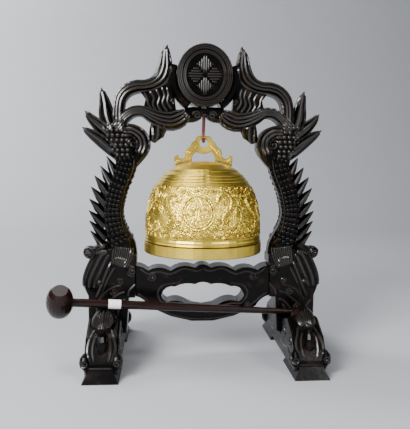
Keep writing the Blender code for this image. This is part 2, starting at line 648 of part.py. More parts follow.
def foot(side, surface):
    """One foot, the same to the front and to the rear: plinth, round volutes, sloping face, bun and neck."""
    middle = side * FOOT_FROM_MIDDLE
    board_face = BOARD_THICKNESS / 2 + SEAT_GAP
    toe = FOOT_LENGTH / 2
    front_half = [
        (-board_face, SADDLE_HEIGHT), (-board_face, NECK_HEIGHT), (-board_face - NECK_SEAT_LENGTH, NECK_HEIGHT),
        (-BUN_FROM_MIDDLE, BUN_TOP - 12 * MM), (-toe + NOSE_FROM_TOE, BUN_TOP - 27 * MM),
        (-toe + 16 * MM, PLINTH_HEIGHT + 17 * MM), (-toe + 10 * MM, PLINTH_HEIGHT + 6 * MM),
        (-toe + 7.5 * MM, PLINTH_HEIGHT - 2 * MM), (-toe + 14 * MM, ARCH_UNDER_FOOT),
    ]
    rear_half = [(-along, up) for along, up in reversed(front_half)]

    def lengthwise(along, up, across):
        return Vector((middle + across, along, up))

    pieces = [slab(front_half + rear_half, FOOT_BODY_WIDTH / 2, lengthwise, FOOT_EDGE)]
    for end in (FRONT, REAR):
        tip, heel = sorted((end * toe, end * (toe - PLINTH_LENGTH)))
        plinth = frustum((middle - FOOT_WIDTH / 2, tip, 0), (middle + FOOT_WIDTH / 2, heel, PLINTH_HEIGHT),
                         (PLINTH_SLOPE, PLINTH_SLOPE))
        bun = ball((middle, end * BUN_FROM_MIDDLE, BUN_TOP - BUN_HEIGHT / 2),
                   (BUN_WIDTH / 2, BUN_LENGTH / 2, BUN_HEIGHT / 2), 18, 12)
        nose = ball((middle, end * (toe - NOSE_FROM_TOE), PLINTH_HEIGHT + NOSE_OVER_PLINTH),
                    (NOSE_WIDTH / 2, NOSE_LENGTH / 2, NOSE_HEIGHT / 2), 12, 8)
        volute_centre = FOOT_WIDTH / 2 + VOLUTE_PROUD - VOLUTE_WIDTH / 2
        volutes = [
            ball((middle + flank * volute_centre, end * (toe - VOLUTE_FROM_TOE), PLINTH_HEIGHT + VOLUTE_OVER_PLINTH),
                 (VOLUTE_WIDTH / 2, VOLUTE_LENGTH / 2, VOLUTE_HEIGHT / 2), 14, 8)
            for flank in (LEFT, RIGHT)
        ]
        pieces += [plinth, bun, nose] + volutes
    body = fuse("right_foot" if side == RIGHT else "left_foot", pieces, surface)
    mortise = block(
        (middle - TENON_WIDTH / 2 - SEAT_GAP, -TENON_THICKNESS / 2 - SEAT_GAP, SADDLE_HEIGHT - TENON_LENGTH - SEAT_GAP),
        (middle + TENON_WIDTH / 2 + SEAT_GAP, TENON_THICKNESS / 2 + SEAT_GAP, SADDLE_HEIGHT + OVERRUN),
    )
    return combine(body, [mortise] + [foot_screw(side, end, SEAT_GAP) for end in (LEFT, RIGHT)], "DIFFERENCE")


def foot_screw(side, end, clearance=0.0, surface=None):
    """A screw from under the foot up into the leg's tenon, or its hole with a clearance."""
    across = side * FOOT_FROM_MIDDLE + end * FOOT_SCREW_SPACING / 2
    sunk = ARCH_UNDER_FOOT + FOOT_SCREW_SINK
    start = 0 if clearance else sunk
    head_top = sunk + FOOT_SCREW_HEAD_HEIGHT + clearance
    tip = SADDLE_HEIGHT - TENON_LENGTH + FOOT_SCREW_IN_TENON + clearance
    head = FOOT_SCREW_HEAD_DIAMETER / 2 + clearance
    shank = FOOT_SCREW_DIAMETER / 2 + clearance
    profile = [(0, start), (head, start), (head, head_top), (shank, head_top), (shank, tip), (0, tip)]
    name = ("right" if side == RIGHT else "left") + "_foot_screw_" + ("right" if end == RIGHT else "left")
    return turned(name, profile, 16, Matrix.Translation((across, 0, 0)), surface)


def shoulder_curve(radius, height, rings):
    """The bell's shoulder from its straight wall up to the dome's top, as (radius, rise)."""
    curve = []
    for ring in range(rings + 1):
        angle = math.pi / 2 * ring / rings
        curve.append((radius * math.cos(angle) ** (2 / SHOULDER_POWER), height * math.sin(angle) ** (2 / SHOULDER_POWER)))
    curve[-1] = (0, height)
    return curve


def bell_envelope(margin):
    """The bell's dome made larger all round by margin, as a solid to cut with."""
    start = BELL_RIM + BELL_STRAIGHT_HEIGHT
    profile = [(0, BELL_RIM)]
    for radius, rise in shoulder_curve(WAIST_RADIUS + margin, DOME_TOP + margin - start, 2 * SHOULDER_RINGS):
        profile.append((radius, start + rise))
    return turned("envelope", profile, BELL_SIDES)


def bell_shell(surface):
    """The bell itself, open below: rim band, two mouldings, straight wall, shoulder and dome."""
    start = BELL_RIM + BELL_STRAIGHT_HEIGHT
    inside = [(radius, start + rise) for radius, rise in
              shoulder_curve(WAIST_RADIUS - BELL_WALL, DOME_TOP - BELL_WALL - start, SHOULDER_RINGS)]
    band_top = BELL_RIM + RIM_BAND_HEIGHT
    bead = RIM_MOULDING_HEIGHT / 2
    outside = [
        (WAIST_RADIUS - BELL_WALL, BELL_RIM), (BELL_RADIUS - 1 * MM, BELL_RIM), (BELL_RADIUS, BELL_RIM + 1 * MM),
        (BELL_RADIUS, band_top), (BELL_RADIUS - 1.6 * MM, band_top + 0.2 * bead),
        (BELL_RADIUS - 0.5 * MM, band_top + 0.5 * bead), (BELL_RADIUS - 1.6 * MM, band_top + bead),
        (BELL_RADIUS - 1.1 * MM, band_top + 1.5 * bead), (WAIST_RADIUS, band_top + 2 * bead),
    ]
    outside += [(radius, start + rise) for radius, rise in
                shoulder_curve(WAIST_RADIUS, DOME_TOP - start, SHOULDER_RINGS)]
    shell = turned("bell_shell", list(reversed(inside)) + outside, BELL_SIDES, surface=surface)
    return combine(shell, [crown_screw(side, SEAT_GAP) for side in (RIGHT, LEFT)], "DIFFERENCE")


def bell_crown(surface):
    """The flat openwork casting: a ring block over two stepped cloud feet that stand on the dome."""
    outer = [
        (35.5, -14), (37.2, 1.5), (37, 5.5), (34.6, 7.6), (32, 6.4), (31.4, 3.6), (28.6, 2.6), (25.6, 3.6),
        (23.6, 6.5), (23.2, 12), (21.4, 15.4), (17.4, 17.4), (15.6, 21.6), (13.6, 24.2), (10.8, 25), (9.8, 29),
        (7.4, 31.3),
    ]
    inner = [(9.4, 11.6), (13.2, 7.6), (15, 3.6), (15, -14)]
    left_side = [(-across, up) for across, up in reversed(outer)]
    arch = [(-across, up) for across, up in reversed(inner)] + arc((-9.4, 11.6), (9.4, 11.6), -2.6, 5)[1:] + inner
    across_scale = CROWN_FOOT_REACH / DRAWN_CROWN_REACH
    up_scale = CROWN_RISE / DRAWN_CROWN_RISE
    outline = [(across * across_scale, DOME_TOP + up * up_scale) for across, up in outer + left_side + arch]
    plate = slab(outline, CROWN_THICKNESS / 2, in_space, CROWN_EDGE)
    hole_centre = RING_HOLE_TOP - RING_HOLE_RADIUS
    hole = rod("hole", (0, -CROWN_THICKNESS, hole_centre), (0, CROWN_THICKNESS, hole_centre), RING_HOLE_RADIUS, 20)
    cutters = [hole, bell_envelope(SEAT_GAP)] + [crown_screw(side, SEAT_GAP) for side in (RIGHT, LEFT)]
    crown = combine(plate, cutters, "DIFFERENCE")
    crown.name = "bell_crown"
    crown.data.materials.clear()
    crown.data.materials.append(surface)
    return crown


def crown_screw(side, clearance=0.0, surface=None):
    """A screw from inside the dome up into a foot of the crown, square to the dome, or its hole."""
    share = CROWN_SCREW_OFFSET / WAIST_RADIUS
    rise = (1 - share ** SHOULDER_POWER) ** (1 / SHOULDER_POWER)
    height = DOME_TOP - BELL_RIM - BELL_STRAIGHT_HEIGHT
    steepness = height / WAIST_RADIUS * (share / rise) ** (SHOULDER_POWER - 1)
    lean = math.atan(steepness)
    on_dome = Vector((side * CROWN_SCREW_OFFSET, 0, BELL_RIM + BELL_STRAIGHT_HEIGHT + height * rise))
    place = Matrix.Translation(on_dome) @ Matrix.Rotation(side * lean, 4, "Y")
    under_wall = -BELL_WALL - (0 if clearance else SCREW_HEAD_CLEARANCE)
    head = CROWN_SCREW_HEAD_DIAMETER / 2 + clearance
    shank = CROWN_SCREW_DIAMETER / 2 + clearance
    head_bottom = -BELL_WALL - SCREW_HEAD_CLEARANCE - CROWN_SCREW_HEAD_HEIGHT
    tip = CROWN_SCREW_DEPTH + clearance
    if clearance:
        profile = [(0, head_bottom), (shank, head_bottom), (shank, tip), (0, tip)]
    else:
        profile = [(0, head_bottom), (head * 0.7, head_bottom), (head, head_bottom + CROWN_SCREW_HEAD_HEIGHT / 2),
                   (head, under_wall), (shank, under_wall), (shank, tip), (0, tip)]
    name = "crown_screw_right" if side == RIGHT else "crown_screw_left"
    return turned(name, profile, 16, place, surface)


def circle_arc(centre, radius, start, end, steps):
    """Points in the stand's side view, (y, z), on an arc between two angles from +Y."""
    points = []
    for step in range(steps + 1):
        angle = start + (end - start) * step / steps
        points.append((centre[0] + radius * math.cos(angle), centre[1] + radius * math.sin(angle)))
    return points


def bell_hook(surface):
    """The S-hook of round wire: a loop over the pin, a slanting shank, and a bowl under the crown's ring."""
    loop_radius = PIN_DIAMETER / 2 + SEAT_GAP + HOOK_WIRE / 2
    shank_angle = math.asin((loop_radius + HOOK_BOWL_RADIUS) / HOOK_DROP)
    loop = circle_arc((0, PIN_HEIGHT), loop_radius, -HOOK_LOOP_END_ANGLE, math.pi + shank_angle, 12)
    bowl = circle_arc((0, BOWL_CENTRE), HOOK_BOWL_RADIUS, shank_angle, -math.pi + HOOK_TIP_ANGLE, 12)
    route = loop + bowl
    curve = bpy.data.curves.new("bell_hook", "CURVE")
    curve.dimensions = "3D"
    curve.bevel_depth = HOOK_WIRE / 2
    curve.bevel_resolution = 2
    curve.use_fill_caps = True
    spline = curve.splines.new("POLY")
    spline.points.add(len(route) - 1)
    for point, (along, up) in zip(spline.points, route):
        point.co = (0, along, up - PIN_HEIGHT, 1)
    curve.materials.append(surface)
    obj = bpy.data.objects.new("bell_hook", curve)
    obj.location = (0, 0, PIN_HEIGHT)
    bpy.context.collection.objects.link(obj)
    return obj


def mallet_place():
    """Where the mallet lies: local +X runs along its handle from the head, which is at the origin."""
    left_radius = HANDLE_THICK_DIAMETER / 2
    right_radius = HANDLE_THIN_DIAMETER / 2
    over_bun = Vector((-FOOT_FROM_MIDDLE, -BUN_FROM_MIDDLE, BUN_TOP + SEAT_GAP + left_radius))
    tip = Vector((FOOT_FROM_MIDDLE + HANDLE_PAST_RIGHT_FOOT, -BOARD_THICKNESS / 2 - SEAT_GAP - right_radius,
                  NECK_HEIGHT + SEAT_GAP + right_radius))
    way = (tip - over_bun).normalized()
    head_middle = over_bun - way * (HANDLE_PAST_LEFT_FOOT + HEAD_DIAMETER / 2)
    sideways = Vector((0, 0, 1)).cross(way).normalized()
    turn = Matrix((way, sideways, way.cross(sideways))).transposed().to_4x4()
    return Matrix.Translation(head_middle) @ turn, (tip - head_middle).length


def mallet_handle(surface):
    """The turned handle, tapering towards its free end, with a tenon into the head."""
    place, length = mallet_place()
    shoulder = HEAD_DIAMETER / 2 - HANDLE_INTO_HEAD_WAIST
    thick = HANDLE_THICK_DIAMETER / 2
    thin = HANDLE_THIN_DIAMETER / 2
    tenon = HANDLE_TENON_DIAMETER / 2
    profile = [
        (0, shoulder - HANDLE_TENON_LENGTH), (tenon, shoulder - HANDLE_TENON_LENGTH), (tenon, shoulder),
        (thick, shoulder), (thick, length / 2), (thin, length - 2 * thin), (thin * 0.9, length - thin),
        (thin * 0.5, length), (0, length),
    ]
    along = place @ Matrix.Rotation(math.pi / 2, 4, "Y")
    return turned("mallet_handle", profile, HANDLE_SIDES, along, surface)


def mallet_head(surface):
    """The barrel head, bored across for the handle's tenon."""
    place, _ = mallet_place()
    half = HEAD_LENGTH / 2
    profile = [(0, -half)]
    for station in range(HEAD_STATIONS + 1):
        along = -half + HEAD_LENGTH * station / HEAD_STATIONS
        swell = 1 - (along / half) ** 2
        profile.append((HEAD_END_DIAMETER / 2 + (HEAD_DIAMETER - HEAD_END_DIAMETER) / 2 * swell ** HEAD_SWELL_POWER,
                        along))
    profile.append((0, half))
    tilt = place @ Matrix.Rotation(HEAD_TILT, 4, "X")
    head = turned("mallet_head", profile, HEAD_SIDES, tilt, surface)
    shoulder = HEAD_DIAMETER / 2 - HANDLE_INTO_HEAD_WAIST
    bore_end = place @ Vector((shoulder - HANDLE_TENON_LENGTH - SEAT_GAP, 0, 0))
    mouth = place @ Vector((shoulder - SEAT_GAP, 0, 0))
    outside = place @ Vector((HEAD_DIAMETER, 0, 0))
    cutters = [
        rod("bore", bore_end, outside, HANDLE_TENON_DIAMETER / 2 + SEAT_GAP, HANDLE_SIDES),
        rod("bore", mouth, outside, HANDLE_THICK_DIAMETER / 2 + SEAT_GAP, HANDLE_SIDES),
    ]
    return combine(head, cutters, "DIFFERENCE")


def build():
    clear_scene()
    black_wood = finish("black lacquered wood", (0.016, 0.013, 0.012), 0.38)
    brass = finish("cast brass", (0.62, 0.42, 0.12), 0.36, 1.0)
    brown_steel = finish("browned steel wire", (0.09, 0.035, 0.03), 0.5, 0.6)
    plain_steel = finish("plain steel", (0.45, 0.44, 0.42), 0.4, 1.0)
    red_brown_wood = finish("dark red-brown wood", (0.03, 0.012, 0.01), 0.3)
    for side in (RIGHT, LEFT):
        upright(side, black_wood)
        foot(side, black_wood)
        medallion_dowel(side, black_wood)
        peg(side, surface=black_wood)
        crown_screw(side, surface=brass)
        for end in (RIGHT, LEFT):
            foot_screw(side, end, surface=plain_steel)
    medallion(black_wood)
    cross_rail(black_wood)
    rod("hook_pin", (-PIN_LENGTH / 2, 0, PIN_HEIGHT), (PIN_LENGTH / 2, 0, PIN_HEIGHT), PIN_DIAMETER / 2,
        surface=plain_steel)
    bell_hook(brown_steel)
    bell_shell(brass)
    bell_crown(brass)
    mallet_handle(red_brown_wood)
    mallet_head(red_brown_wood)


build()
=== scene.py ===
"""Dressed model of the temple bell on its dragon stand: carving, casting, finishes, light and camera."""
import math

import bmesh
import bpy
import numpy as np
from mathutils import Matrix, Vector
from mathutils.bvhtree import BVHTree


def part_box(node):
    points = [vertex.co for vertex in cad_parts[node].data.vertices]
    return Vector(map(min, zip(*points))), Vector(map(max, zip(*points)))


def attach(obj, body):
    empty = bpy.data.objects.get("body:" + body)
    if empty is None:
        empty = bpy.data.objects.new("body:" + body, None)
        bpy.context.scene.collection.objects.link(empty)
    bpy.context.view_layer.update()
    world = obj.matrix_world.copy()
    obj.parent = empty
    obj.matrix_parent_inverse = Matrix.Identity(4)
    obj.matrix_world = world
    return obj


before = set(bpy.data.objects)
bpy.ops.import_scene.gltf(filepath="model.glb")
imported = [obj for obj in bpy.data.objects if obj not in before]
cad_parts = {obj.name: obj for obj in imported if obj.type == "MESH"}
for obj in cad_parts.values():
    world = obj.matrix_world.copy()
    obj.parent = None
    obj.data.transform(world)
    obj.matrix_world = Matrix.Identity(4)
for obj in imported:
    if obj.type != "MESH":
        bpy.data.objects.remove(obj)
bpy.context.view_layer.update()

# Camera
# It stands 0.7 m in front of the stand's middle, at the height of the bell's shoulder and a little to the
# left, and looks slightly down and to the right. Its place is in metres, its lens and film in millimetres.
CAMERA_PLACE = Vector((-0.0514, -0.7036, 0.2495))
CAMERA_YAW = math.radians(4.41)
CAMERA_PITCH = math.radians(5.56)
CAMERA_ROLL = math.radians(0.6)
LENS_LENGTH = 46.17
FILM_WIDTH = 36

level_ahead = Vector((math.sin(CAMERA_YAW), math.cos(CAMERA_YAW), 0))
level_right = Vector((math.cos(CAMERA_YAW), -math.sin(CAMERA_YAW), 0))
ahead = level_ahead * math.cos(CAMERA_PITCH) - Vector((0, 0, math.sin(CAMERA_PITCH)))
level_up = level_right.cross(ahead)
camera_right = level_right * math.cos(CAMERA_ROLL) + level_up * math.sin(CAMERA_ROLL)
camera_up = level_up * math.cos(CAMERA_ROLL) - level_right * math.sin(CAMERA_ROLL)
camera_turn = Matrix((camera_right, camera_up, -ahead)).transposed().to_4x4()
lens = bpy.data.cameras.new("camera")
lens.lens = LENS_LENGTH
lens.sensor_width = FILM_WIDTH
camera = bpy.data.objects.new("camera", lens)
camera.matrix_world = Matrix.Translation(CAMERA_PLACE) @ camera_turn
bpy.context.collection.objects.link(camera)
bpy.context.scene.camera = camera

# Studio
# A sweep of matt paper runs under and behind the stand. The main lamp stands close on the left, small ones
# on the right and overhead draw glints on the lacquer, and a fourth lights the paper behind on the left.
SWEEP_HALF_WIDTH = 3.0
SWEEP_FRONT = -2.5
SWEEP_BACK = 1.2
SWEEP_TOP = 3.5
BEND_RADIUS = 0.9
BEND_STEPS = 8
STAND_MIDDLE = (0, 0, 0.2)
LAMPS = (
    # name, place, what it looks at, size in metres and power in watts
    ("key_lamp", (-0.85, -1.0, 0.85), STAND_MIDDLE, 0.6, 42),
    ("fill_lamp", (0.9, -1.3, 0.8), STAND_MIDDLE, 0.5, 17),
    ("top_lamp", (-0.35, 0.0, 1.5), STAND_MIDDLE, 0.7, 9),
    ("paper_lamp", (-1.7, 0.9, 1.9), (-1.2, 2.0, 0.9), 1.0, 90),
)
ROOM_LIGHT = 0.12


def linear(hex_colour):
    """An sRGB hex colour as linear light with alpha."""
    parts = [int(hex_colour[place:place + 2], 16) / 255 for place in (1, 3, 5)]
    light = [part / 12.92 if part <= 0.04045 else ((part + 0.055) / 1.055) ** 2.4 for part in parts]
    return (*light, 1)


def new_material(name, colour, roughness, metallic=0.0):
    """A material with its shader, as (material, node tree, shader)."""
    material = bpy.data.materials.new(name)
    material.use_nodes = True
    shader = material.node_tree.nodes["Principled BSDF"]
    shader.inputs["Base Color"].default_value = linear(colour)
    shader.inputs["Roughness"].default_value = roughness
    shader.inputs["Metallic"].default_value = metallic
    return material, material.node_tree, shader


# Uncoated paper: an even pale grey without any gloss.
background_paper, _, _ = new_material("matt background paper", "#adafb4", roughness=0.9)
profile = [(SWEEP_FRONT, 0.0), (SWEEP_BACK, 0.0)]
for step in range(1, BEND_STEPS + 1):
    turn = math.pi / 2 * step / BEND_STEPS
    profile.append((SWEEP_BACK + BEND_RADIUS * math.sin(turn), BEND_RADIUS * (1 - math.cos(turn))))
profile.append((SWEEP_BACK + BEND_RADIUS, SWEEP_TOP))
sheet = bmesh.new()
rows = [[sheet.verts.new((side * SWEEP_HALF_WIDTH, y, z)) for side in (-1, 1)] for y, z in profile]
for near, far in zip(rows, rows[1:]):
    sheet.faces.new([near[0], near[1], far[1], far[0]])
sweep_mesh = bpy.data.meshes.new("paper_sweep")
sheet.to_mesh(sweep_mesh)
sheet.free()
sweep_mesh.shade_smooth()
sweep_mesh.materials.append(background_paper)
backdrop = bpy.data.objects.new("paper_sweep", sweep_mesh)
bpy.context.collection.objects.link(backdrop)

for name, place, aim, size, power in LAMPS:
    lamp = bpy.data.lights.new(name, "AREA")
    lamp.size = size
    lamp.energy = power
    lamp_object = bpy.data.objects.new(name, lamp)
    lamp_object.location = place
    lamp_object.rotation_euler = (Vector(aim) - Vector(place)).to_track_quat("-Z", "Y").to_euler()
    bpy.context.collection.objects.link(lamp_object)
room = bpy.data.worlds.new("studio")
room.use_nodes = True
room_shader = room.node_tree.nodes["Background"]
room_shader.inputs["Color"].default_value = linear("#c9cdd3")
room_shader.inputs["Strength"].default_value = ROOM_LIGHT
bpy.context.scene.world = room

# Uprights
# Two boards of hardwood, each carved on both faces as a dragon-carp with its head down and its forked tail
# up. Their flutes, curls, beads and scales are cut after the outline is sawn, and tenons hold them in the
# feet. Drawn lines are (across from the middle, up from the floor) in mm, for the right-hand board.
MM = 0.001
SIDES = {1: "right", -1: "left"}
FACES = (1, -1)        # the front and the back, as the way along Y in which a ray meets them
STAND_NODES = ("left_upright", "right_upright", "medallion", "medallion_dowel_left", "medallion_dowel_right",
               "cross_rail", "rail_peg_left", "rail_peg_right", "left_foot", "right_foot")
PORE_SPACING = 100 / 26        # 26 to 100 mm: coarser than real pores, so that they show
PORE_DEPTH = 0.4
WORN_PATCH_SPACING = 100 / 6
MIX_FIRST, MIX_SECOND, MIX_RESULT = 6, 7, 2      # a Mix node's colour sockets

RIBBONS = (
    # centre line as (across, up, half width), and the number of flutes
    # the tail's upper arm
    ([(106, 292, 8), (106, 314, 7), (103, 327, 7.5), (95, 336, 7.8), (84, 340.5, 8), (73, 341.5, 7.4),
      (62, 345, 8.5), (53, 353, 10.5), (49, 365, 9.6), (48.5, 378, 6.4), (47.8, 388, 2.2)], 4),
    # the tail's lower arm
    ([(110, 288, 7), (99, 302, 6.6), (88, 309.5, 6.4), (76, 310, 6.6), (64, 304, 9), (52, 299.5, 11.3),
      (40, 298.5, 12.2), (29, 303, 11.5), (22, 309, 6)], 5),
    # the curl inside the arch, and the small leaf that hangs beside it
    ([(100, 286, 8), (89, 286, 8), (79, 279, 9), (76, 268, 9), (80, 257, 8)], 4),
    ([(57, 294, 9), (58, 281, 7.5), (62, 272, 3)], 3),
    # the three points of the fin
    ([(114, 284, 9), (121, 303, 10), (123.5, 320, 6.5), (127, 335, 1.5)], 3),
    ([(118, 280, 8), (128, 289, 8.5), (139, 299, 5.5), (147, 308, 1.5)], 3),
    ([(112, 260, 7), (116, 263, 8), (128, 273, 8), (141, 282, 5), (149.2, 287.4, 1.3)], 3),
    # the snout, the horn and the mane
    ([(120, 136, 6), (128, 131, 8.5), (136, 116, 9.6), (142, 101, 9.2), (143.6, 89, 8)], 3),
    ([(121, 139, 4), (127, 138.5, 4), (136, 136, 4.5)], 2),
    ([(100, 141, 14), (101, 134, 15), (103, 126, 14), (106, 117, 11)], 10),
)
FLUTED_SHARE = 0.8     # of a ribbon's half width
FLUTE_FULLNESS = 0.93
FLUTE_PROUD = 1.25
BODY_LINE = [(98, 256, 13), (97, 247, 12.5), (101, 232, 12.5), (108, 214, 12), (112, 199, 12),
             (114, 185, 11.5), (112, 169, 12), (108, 155, 14), (104, 146, 15)]
BELLY_SET_IN = 0.8     # of the body's half width
SPIRALS = (
    # across, up, radius, turns and hand
    (144, 132, 7.5, 2.2, 1), (89, 110, 7, 2.0, -1), (104, 97, 4.5, 1.6, 1), (88, 270, 6.5, 1.6, 1),
    (38, 322, 4, 1.4, 1), (10, 306, 5, 1.5, 1), (112, 84, 5, 1.6, -1), (122, 62, 5, 1.5, 1),
    (108, 48, 5, 1.5, -1),
)
FACE_LINES = (
    # folds of the leaf between the tail's two arms
    [(75, 333), (71, 326), (70, 319), (66, 314)],
    [(68, 335), (63, 327), (64, 318), (60, 311)],
    [(60, 337), (56, 328), (58, 318), (53, 309)],
    [(53, 340), (50, 330), (52, 320), (46, 310)],
    [(47, 340), (45, 331), (46, 322), (41, 313)],
    # the mane's long locks, the cheek and the jaw
    [(116, 122), (122, 108), (130, 88), (135, 77)],
    [(111, 116), (118, 104), (126, 86), (131, 72)],
    [(103, 92), (112, 90), (122, 84), (130, 74)],
    [(99, 84), (108, 80), (118, 72), (128, 64)],
    [(98, 74), (106, 70), (114, 60), (120, 48)],
    [(140, 72), (134, 62), (136, 50), (138, 36)],
    [(104, 66), (108, 56), (104, 44), (108, 34)],
    [(94, 118), (86, 113), (83, 104), (86, 94), (93, 86), (95, 78)],
)
SPIKE_TIPS = [(122, 254), (139, 225), (144.5, 190), (143, 159.5)]
SPIKE_ROOTS = [(113, 229), (123, 200), (126, 170), (122, 134)]
STEPS_BETWEEN_SPIKES = 3
SPIKE_GROOVE = 1.6     # from the spike's middle to each of its two lines, at the root
SPIKE_LINE_REACH = 0.93
BEAD_ROWS = (
    # the beads at the tail's root: middle of the row, up, and number of beads
    (113, 292, 3), (111, 286, 4), (110, 280, 4), (108, 274, 5), (106, 268, 4), (104, 262, 4), (101, 256, 3),
)
BEAD_SPACING = 6.2
BEAD_RADIUS = 2.7
BEAD_SUNK = 0.8
EYE = (130, 97)
EYE_RADIUS = 3.4
SCALE_LENGTH = 6.2
SCALE_SHAPE = (0.62, 0.52, 0.3)      # half length, half width and half thickness, in scale lengths
SCALE_ROW_SPACING = 5.0
SCALES_IN_ROW = 5
SCALED_SHARE = 0.82    # of the body's half width
SCALE_STAGGER = 0.25
SCALE_LIFT = 0.22      # how steeply a scale's free end rises
SCALE_RAISED = 0.35
SMALLEST_SCALE = 0.75
SCALE_GROWTH = 0.3
# A ridge is given as its radius and how far it stands proud of the surface.
CURL_RIDGE = (1.1, 1.0)
FACE_RIDGE = (1.5, 1.1)
SPIKE_RIDGE = (0.9, 0.7)
BELLY_RIDGE = (1.0, 0.9)
RAY_START = 0.3        # in metres, well outside the stand
RIDGE_SIDES = 6
RIDGE_END = 0.35       # the share of a ridge's radius that is left at its ends
STEP_AWAY = 3          # a ridge breaks where the surface steps away by more than this
SPIRAL_STEPS = 26
SPIRAL_WIND = 0.88     # the share of its radius that a spiral winds in
SHARP_ANGLE = math.radians(50)


def add_node(tree, kind, settings=None, links=None):
    """Adds a node, sets its properties and inputs, and links its inputs to the sockets given."""
    node = tree.nodes.new(kind)
    for name, value in (settings or {}).items():
        if isinstance(name, str) and hasattr(node, name):
            setattr(node, name, value)
        else:
            node.inputs[name].default_value = value
    for name, socket in (links or {}).items():
        tree.links.new(socket, node.inputs[name])
    return node


def dress(material, *nodes):
    """Gives CAD nodes their finished surface."""
    for node in nodes:
        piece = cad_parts[node]
        if not piece.material_slots:
            piece.data.materials.append(material)
        for held in piece.material_slots:
            held.material = material


def smooth_path(points, steps):
    """Points on a smooth curve through the given ones, steps of them to each stretch."""
    knots = np.array(points, dtype=float)
    padded = np.vstack([2 * knots[0] - knots[1], knots, 2 * knots[-1] - knots[-2]])
    path = []
    for index in range(1, len(padded) - 2):
        before, start, end, after = padded[index - 1:index + 3]
        for step in range(steps):
            t = step / steps
            straight = 2 * start + (end - before) * t
            bent = (2 * before - 5 * start + 4 * end - after) * t ** 2
            twisted = (3 * start - before - 3 * end + after) * t ** 3
            path.append(0.5 * (straight + bent + twisted))
    path.append(knots[-1])
    return path


def heading_at(stations, index):
    """Which way a drawn line runs at one of its points, as an angle from level."""
    after = stations[min(index + 1, len(stations) - 1)]
    before = stations[max(index - 1, 0)]
    return math.atan2(after[1] - before[1], after[0] - before[0])


def alongside(stations, offset):
    """The line that keeps beside a ribbon's centre line, at an offset given in half widths."""
    line = []
    for index, (across, up, half_width) in enumerate(stations):
        heading = heading_at(stations, index)
        line.append((across - offset * half_width * math.sin(heading),
                     up + offset * half_width * math.cos(heading)))
    return line


def spiral(centre, radius, turns, hand):
    """Drawn points on a spiral that winds in to its centre."""
    points = []
    for share in np.linspace(0, 1, SPIRAL_STEPS + 1):
        turn = hand * 2 * math.pi * turns * share
        reach = radius * (1 - SPIRAL_WIND * share)
        points.append((centre[0] + reach * math.cos(turn), centre[1] + reach * math.sin(turn)))
    return points


def placed(points, side=1, middle=0.0):
    """Drawn points in mm as places in metres on a board's middle plane, mirrored for the left side."""
    return [(middle + side * across * MM, 0, up * MM) for across, up in points]


def surface_of(node):
    """The outer surface of a CAD node, to lay carving on."""
    return BVHTree.FromObject(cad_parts[node], bpy.context.evaluated_depsgraph_get())


def touch(surface, point, way):
    """Where a ray through the point along way first meets the surface, and the normal there, or None."""
    place, normal, _, _ = surface.ray_cast(Vector(point) - way * RAY_START, way, 2 * RAY_START)
    return None if place is None else (place, normal)


def raised_line(shape, path, radius, end_share):
    """Adds a closed round ridge along the path, its radius in mm, thinned to a share of it at both ends."""
    rings = []
    for index, point in enumerate(path):
        way = (path[min(index + 1, len(path) - 1)] - path[max(index - 1, 0)]).normalized()
        across = across - way * across.dot(way) if rings else way.orthogonal()
        across.normalize()
        other = way.cross(across)
        reach = radius * MM * (end_share if index in (0, len(path) - 1) else 1)
        rings.append([shape.verts.new(point + (across * math.cos(turn) + other * math.sin(turn)) * reach)
                      for turn in np.linspace(0, 2 * math.pi, RIDGE_SIDES, endpoint=False)])
    for ring, following in zip(rings, rings[1:]):
        for corner in range(RIDGE_SIDES):
            beside = (corner + 1) % RIDGE_SIDES
            shape.faces.new([ring[corner], ring[beside], following[beside], following[corner]])
    shape.faces.new(list(reversed(rings[0])))
    shape.faces.new(rings[-1])


def carve_line(shape, surface, points, way, radius, proud):
    """Lays a ridge on the surface, proud of it by so many mm, and breaks it where the surface steps away."""
    runs = [[]]
    for point, previous in zip(points, [points[0], *points]):
        hit = touch(surface, point, way)
        allowed = (Vector(point) - Vector(previous)).length + STEP_AWAY * MM
        if hit is None or (runs[-1] and (hit[0] - runs[-1][-1]).length > allowed):
            runs.append([])
        if hit:
            runs[-1].append(hit[0] + way * (radius - proud) * MM)
    for run in runs:
        if len(run) > 2:
            raised_line(shape, run, radius, RIDGE_END)


def add_ball(shape, place, radius, segments, rings):
    """Adds a ball round the place, its radius in mm."""
    bmesh.ops.create_uvsphere(shape, u_segments=segments, v_segments=rings, radius=radius * MM,
                              matrix=Matrix.Translation(place))


def finish_piece(name, shape, material, body):
    """Makes the piece from its bmesh, gives it its surface and lets it ride on its body."""
    bmesh.ops.recalc_face_normals(shape, faces=shape.faces)
    mesh = bpy.data.meshes.new(name)
    shape.to_mesh(mesh)
    shape.free()
    mesh.shade_smooth()
    mesh.set_sharp_from_angle(angle=SHARP_ANGLE)
    mesh.materials.append(material)
    piece = bpy.data.objects.new(name, mesh)
    bpy.context.collection.objects.link(piece)
    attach(piece, body)


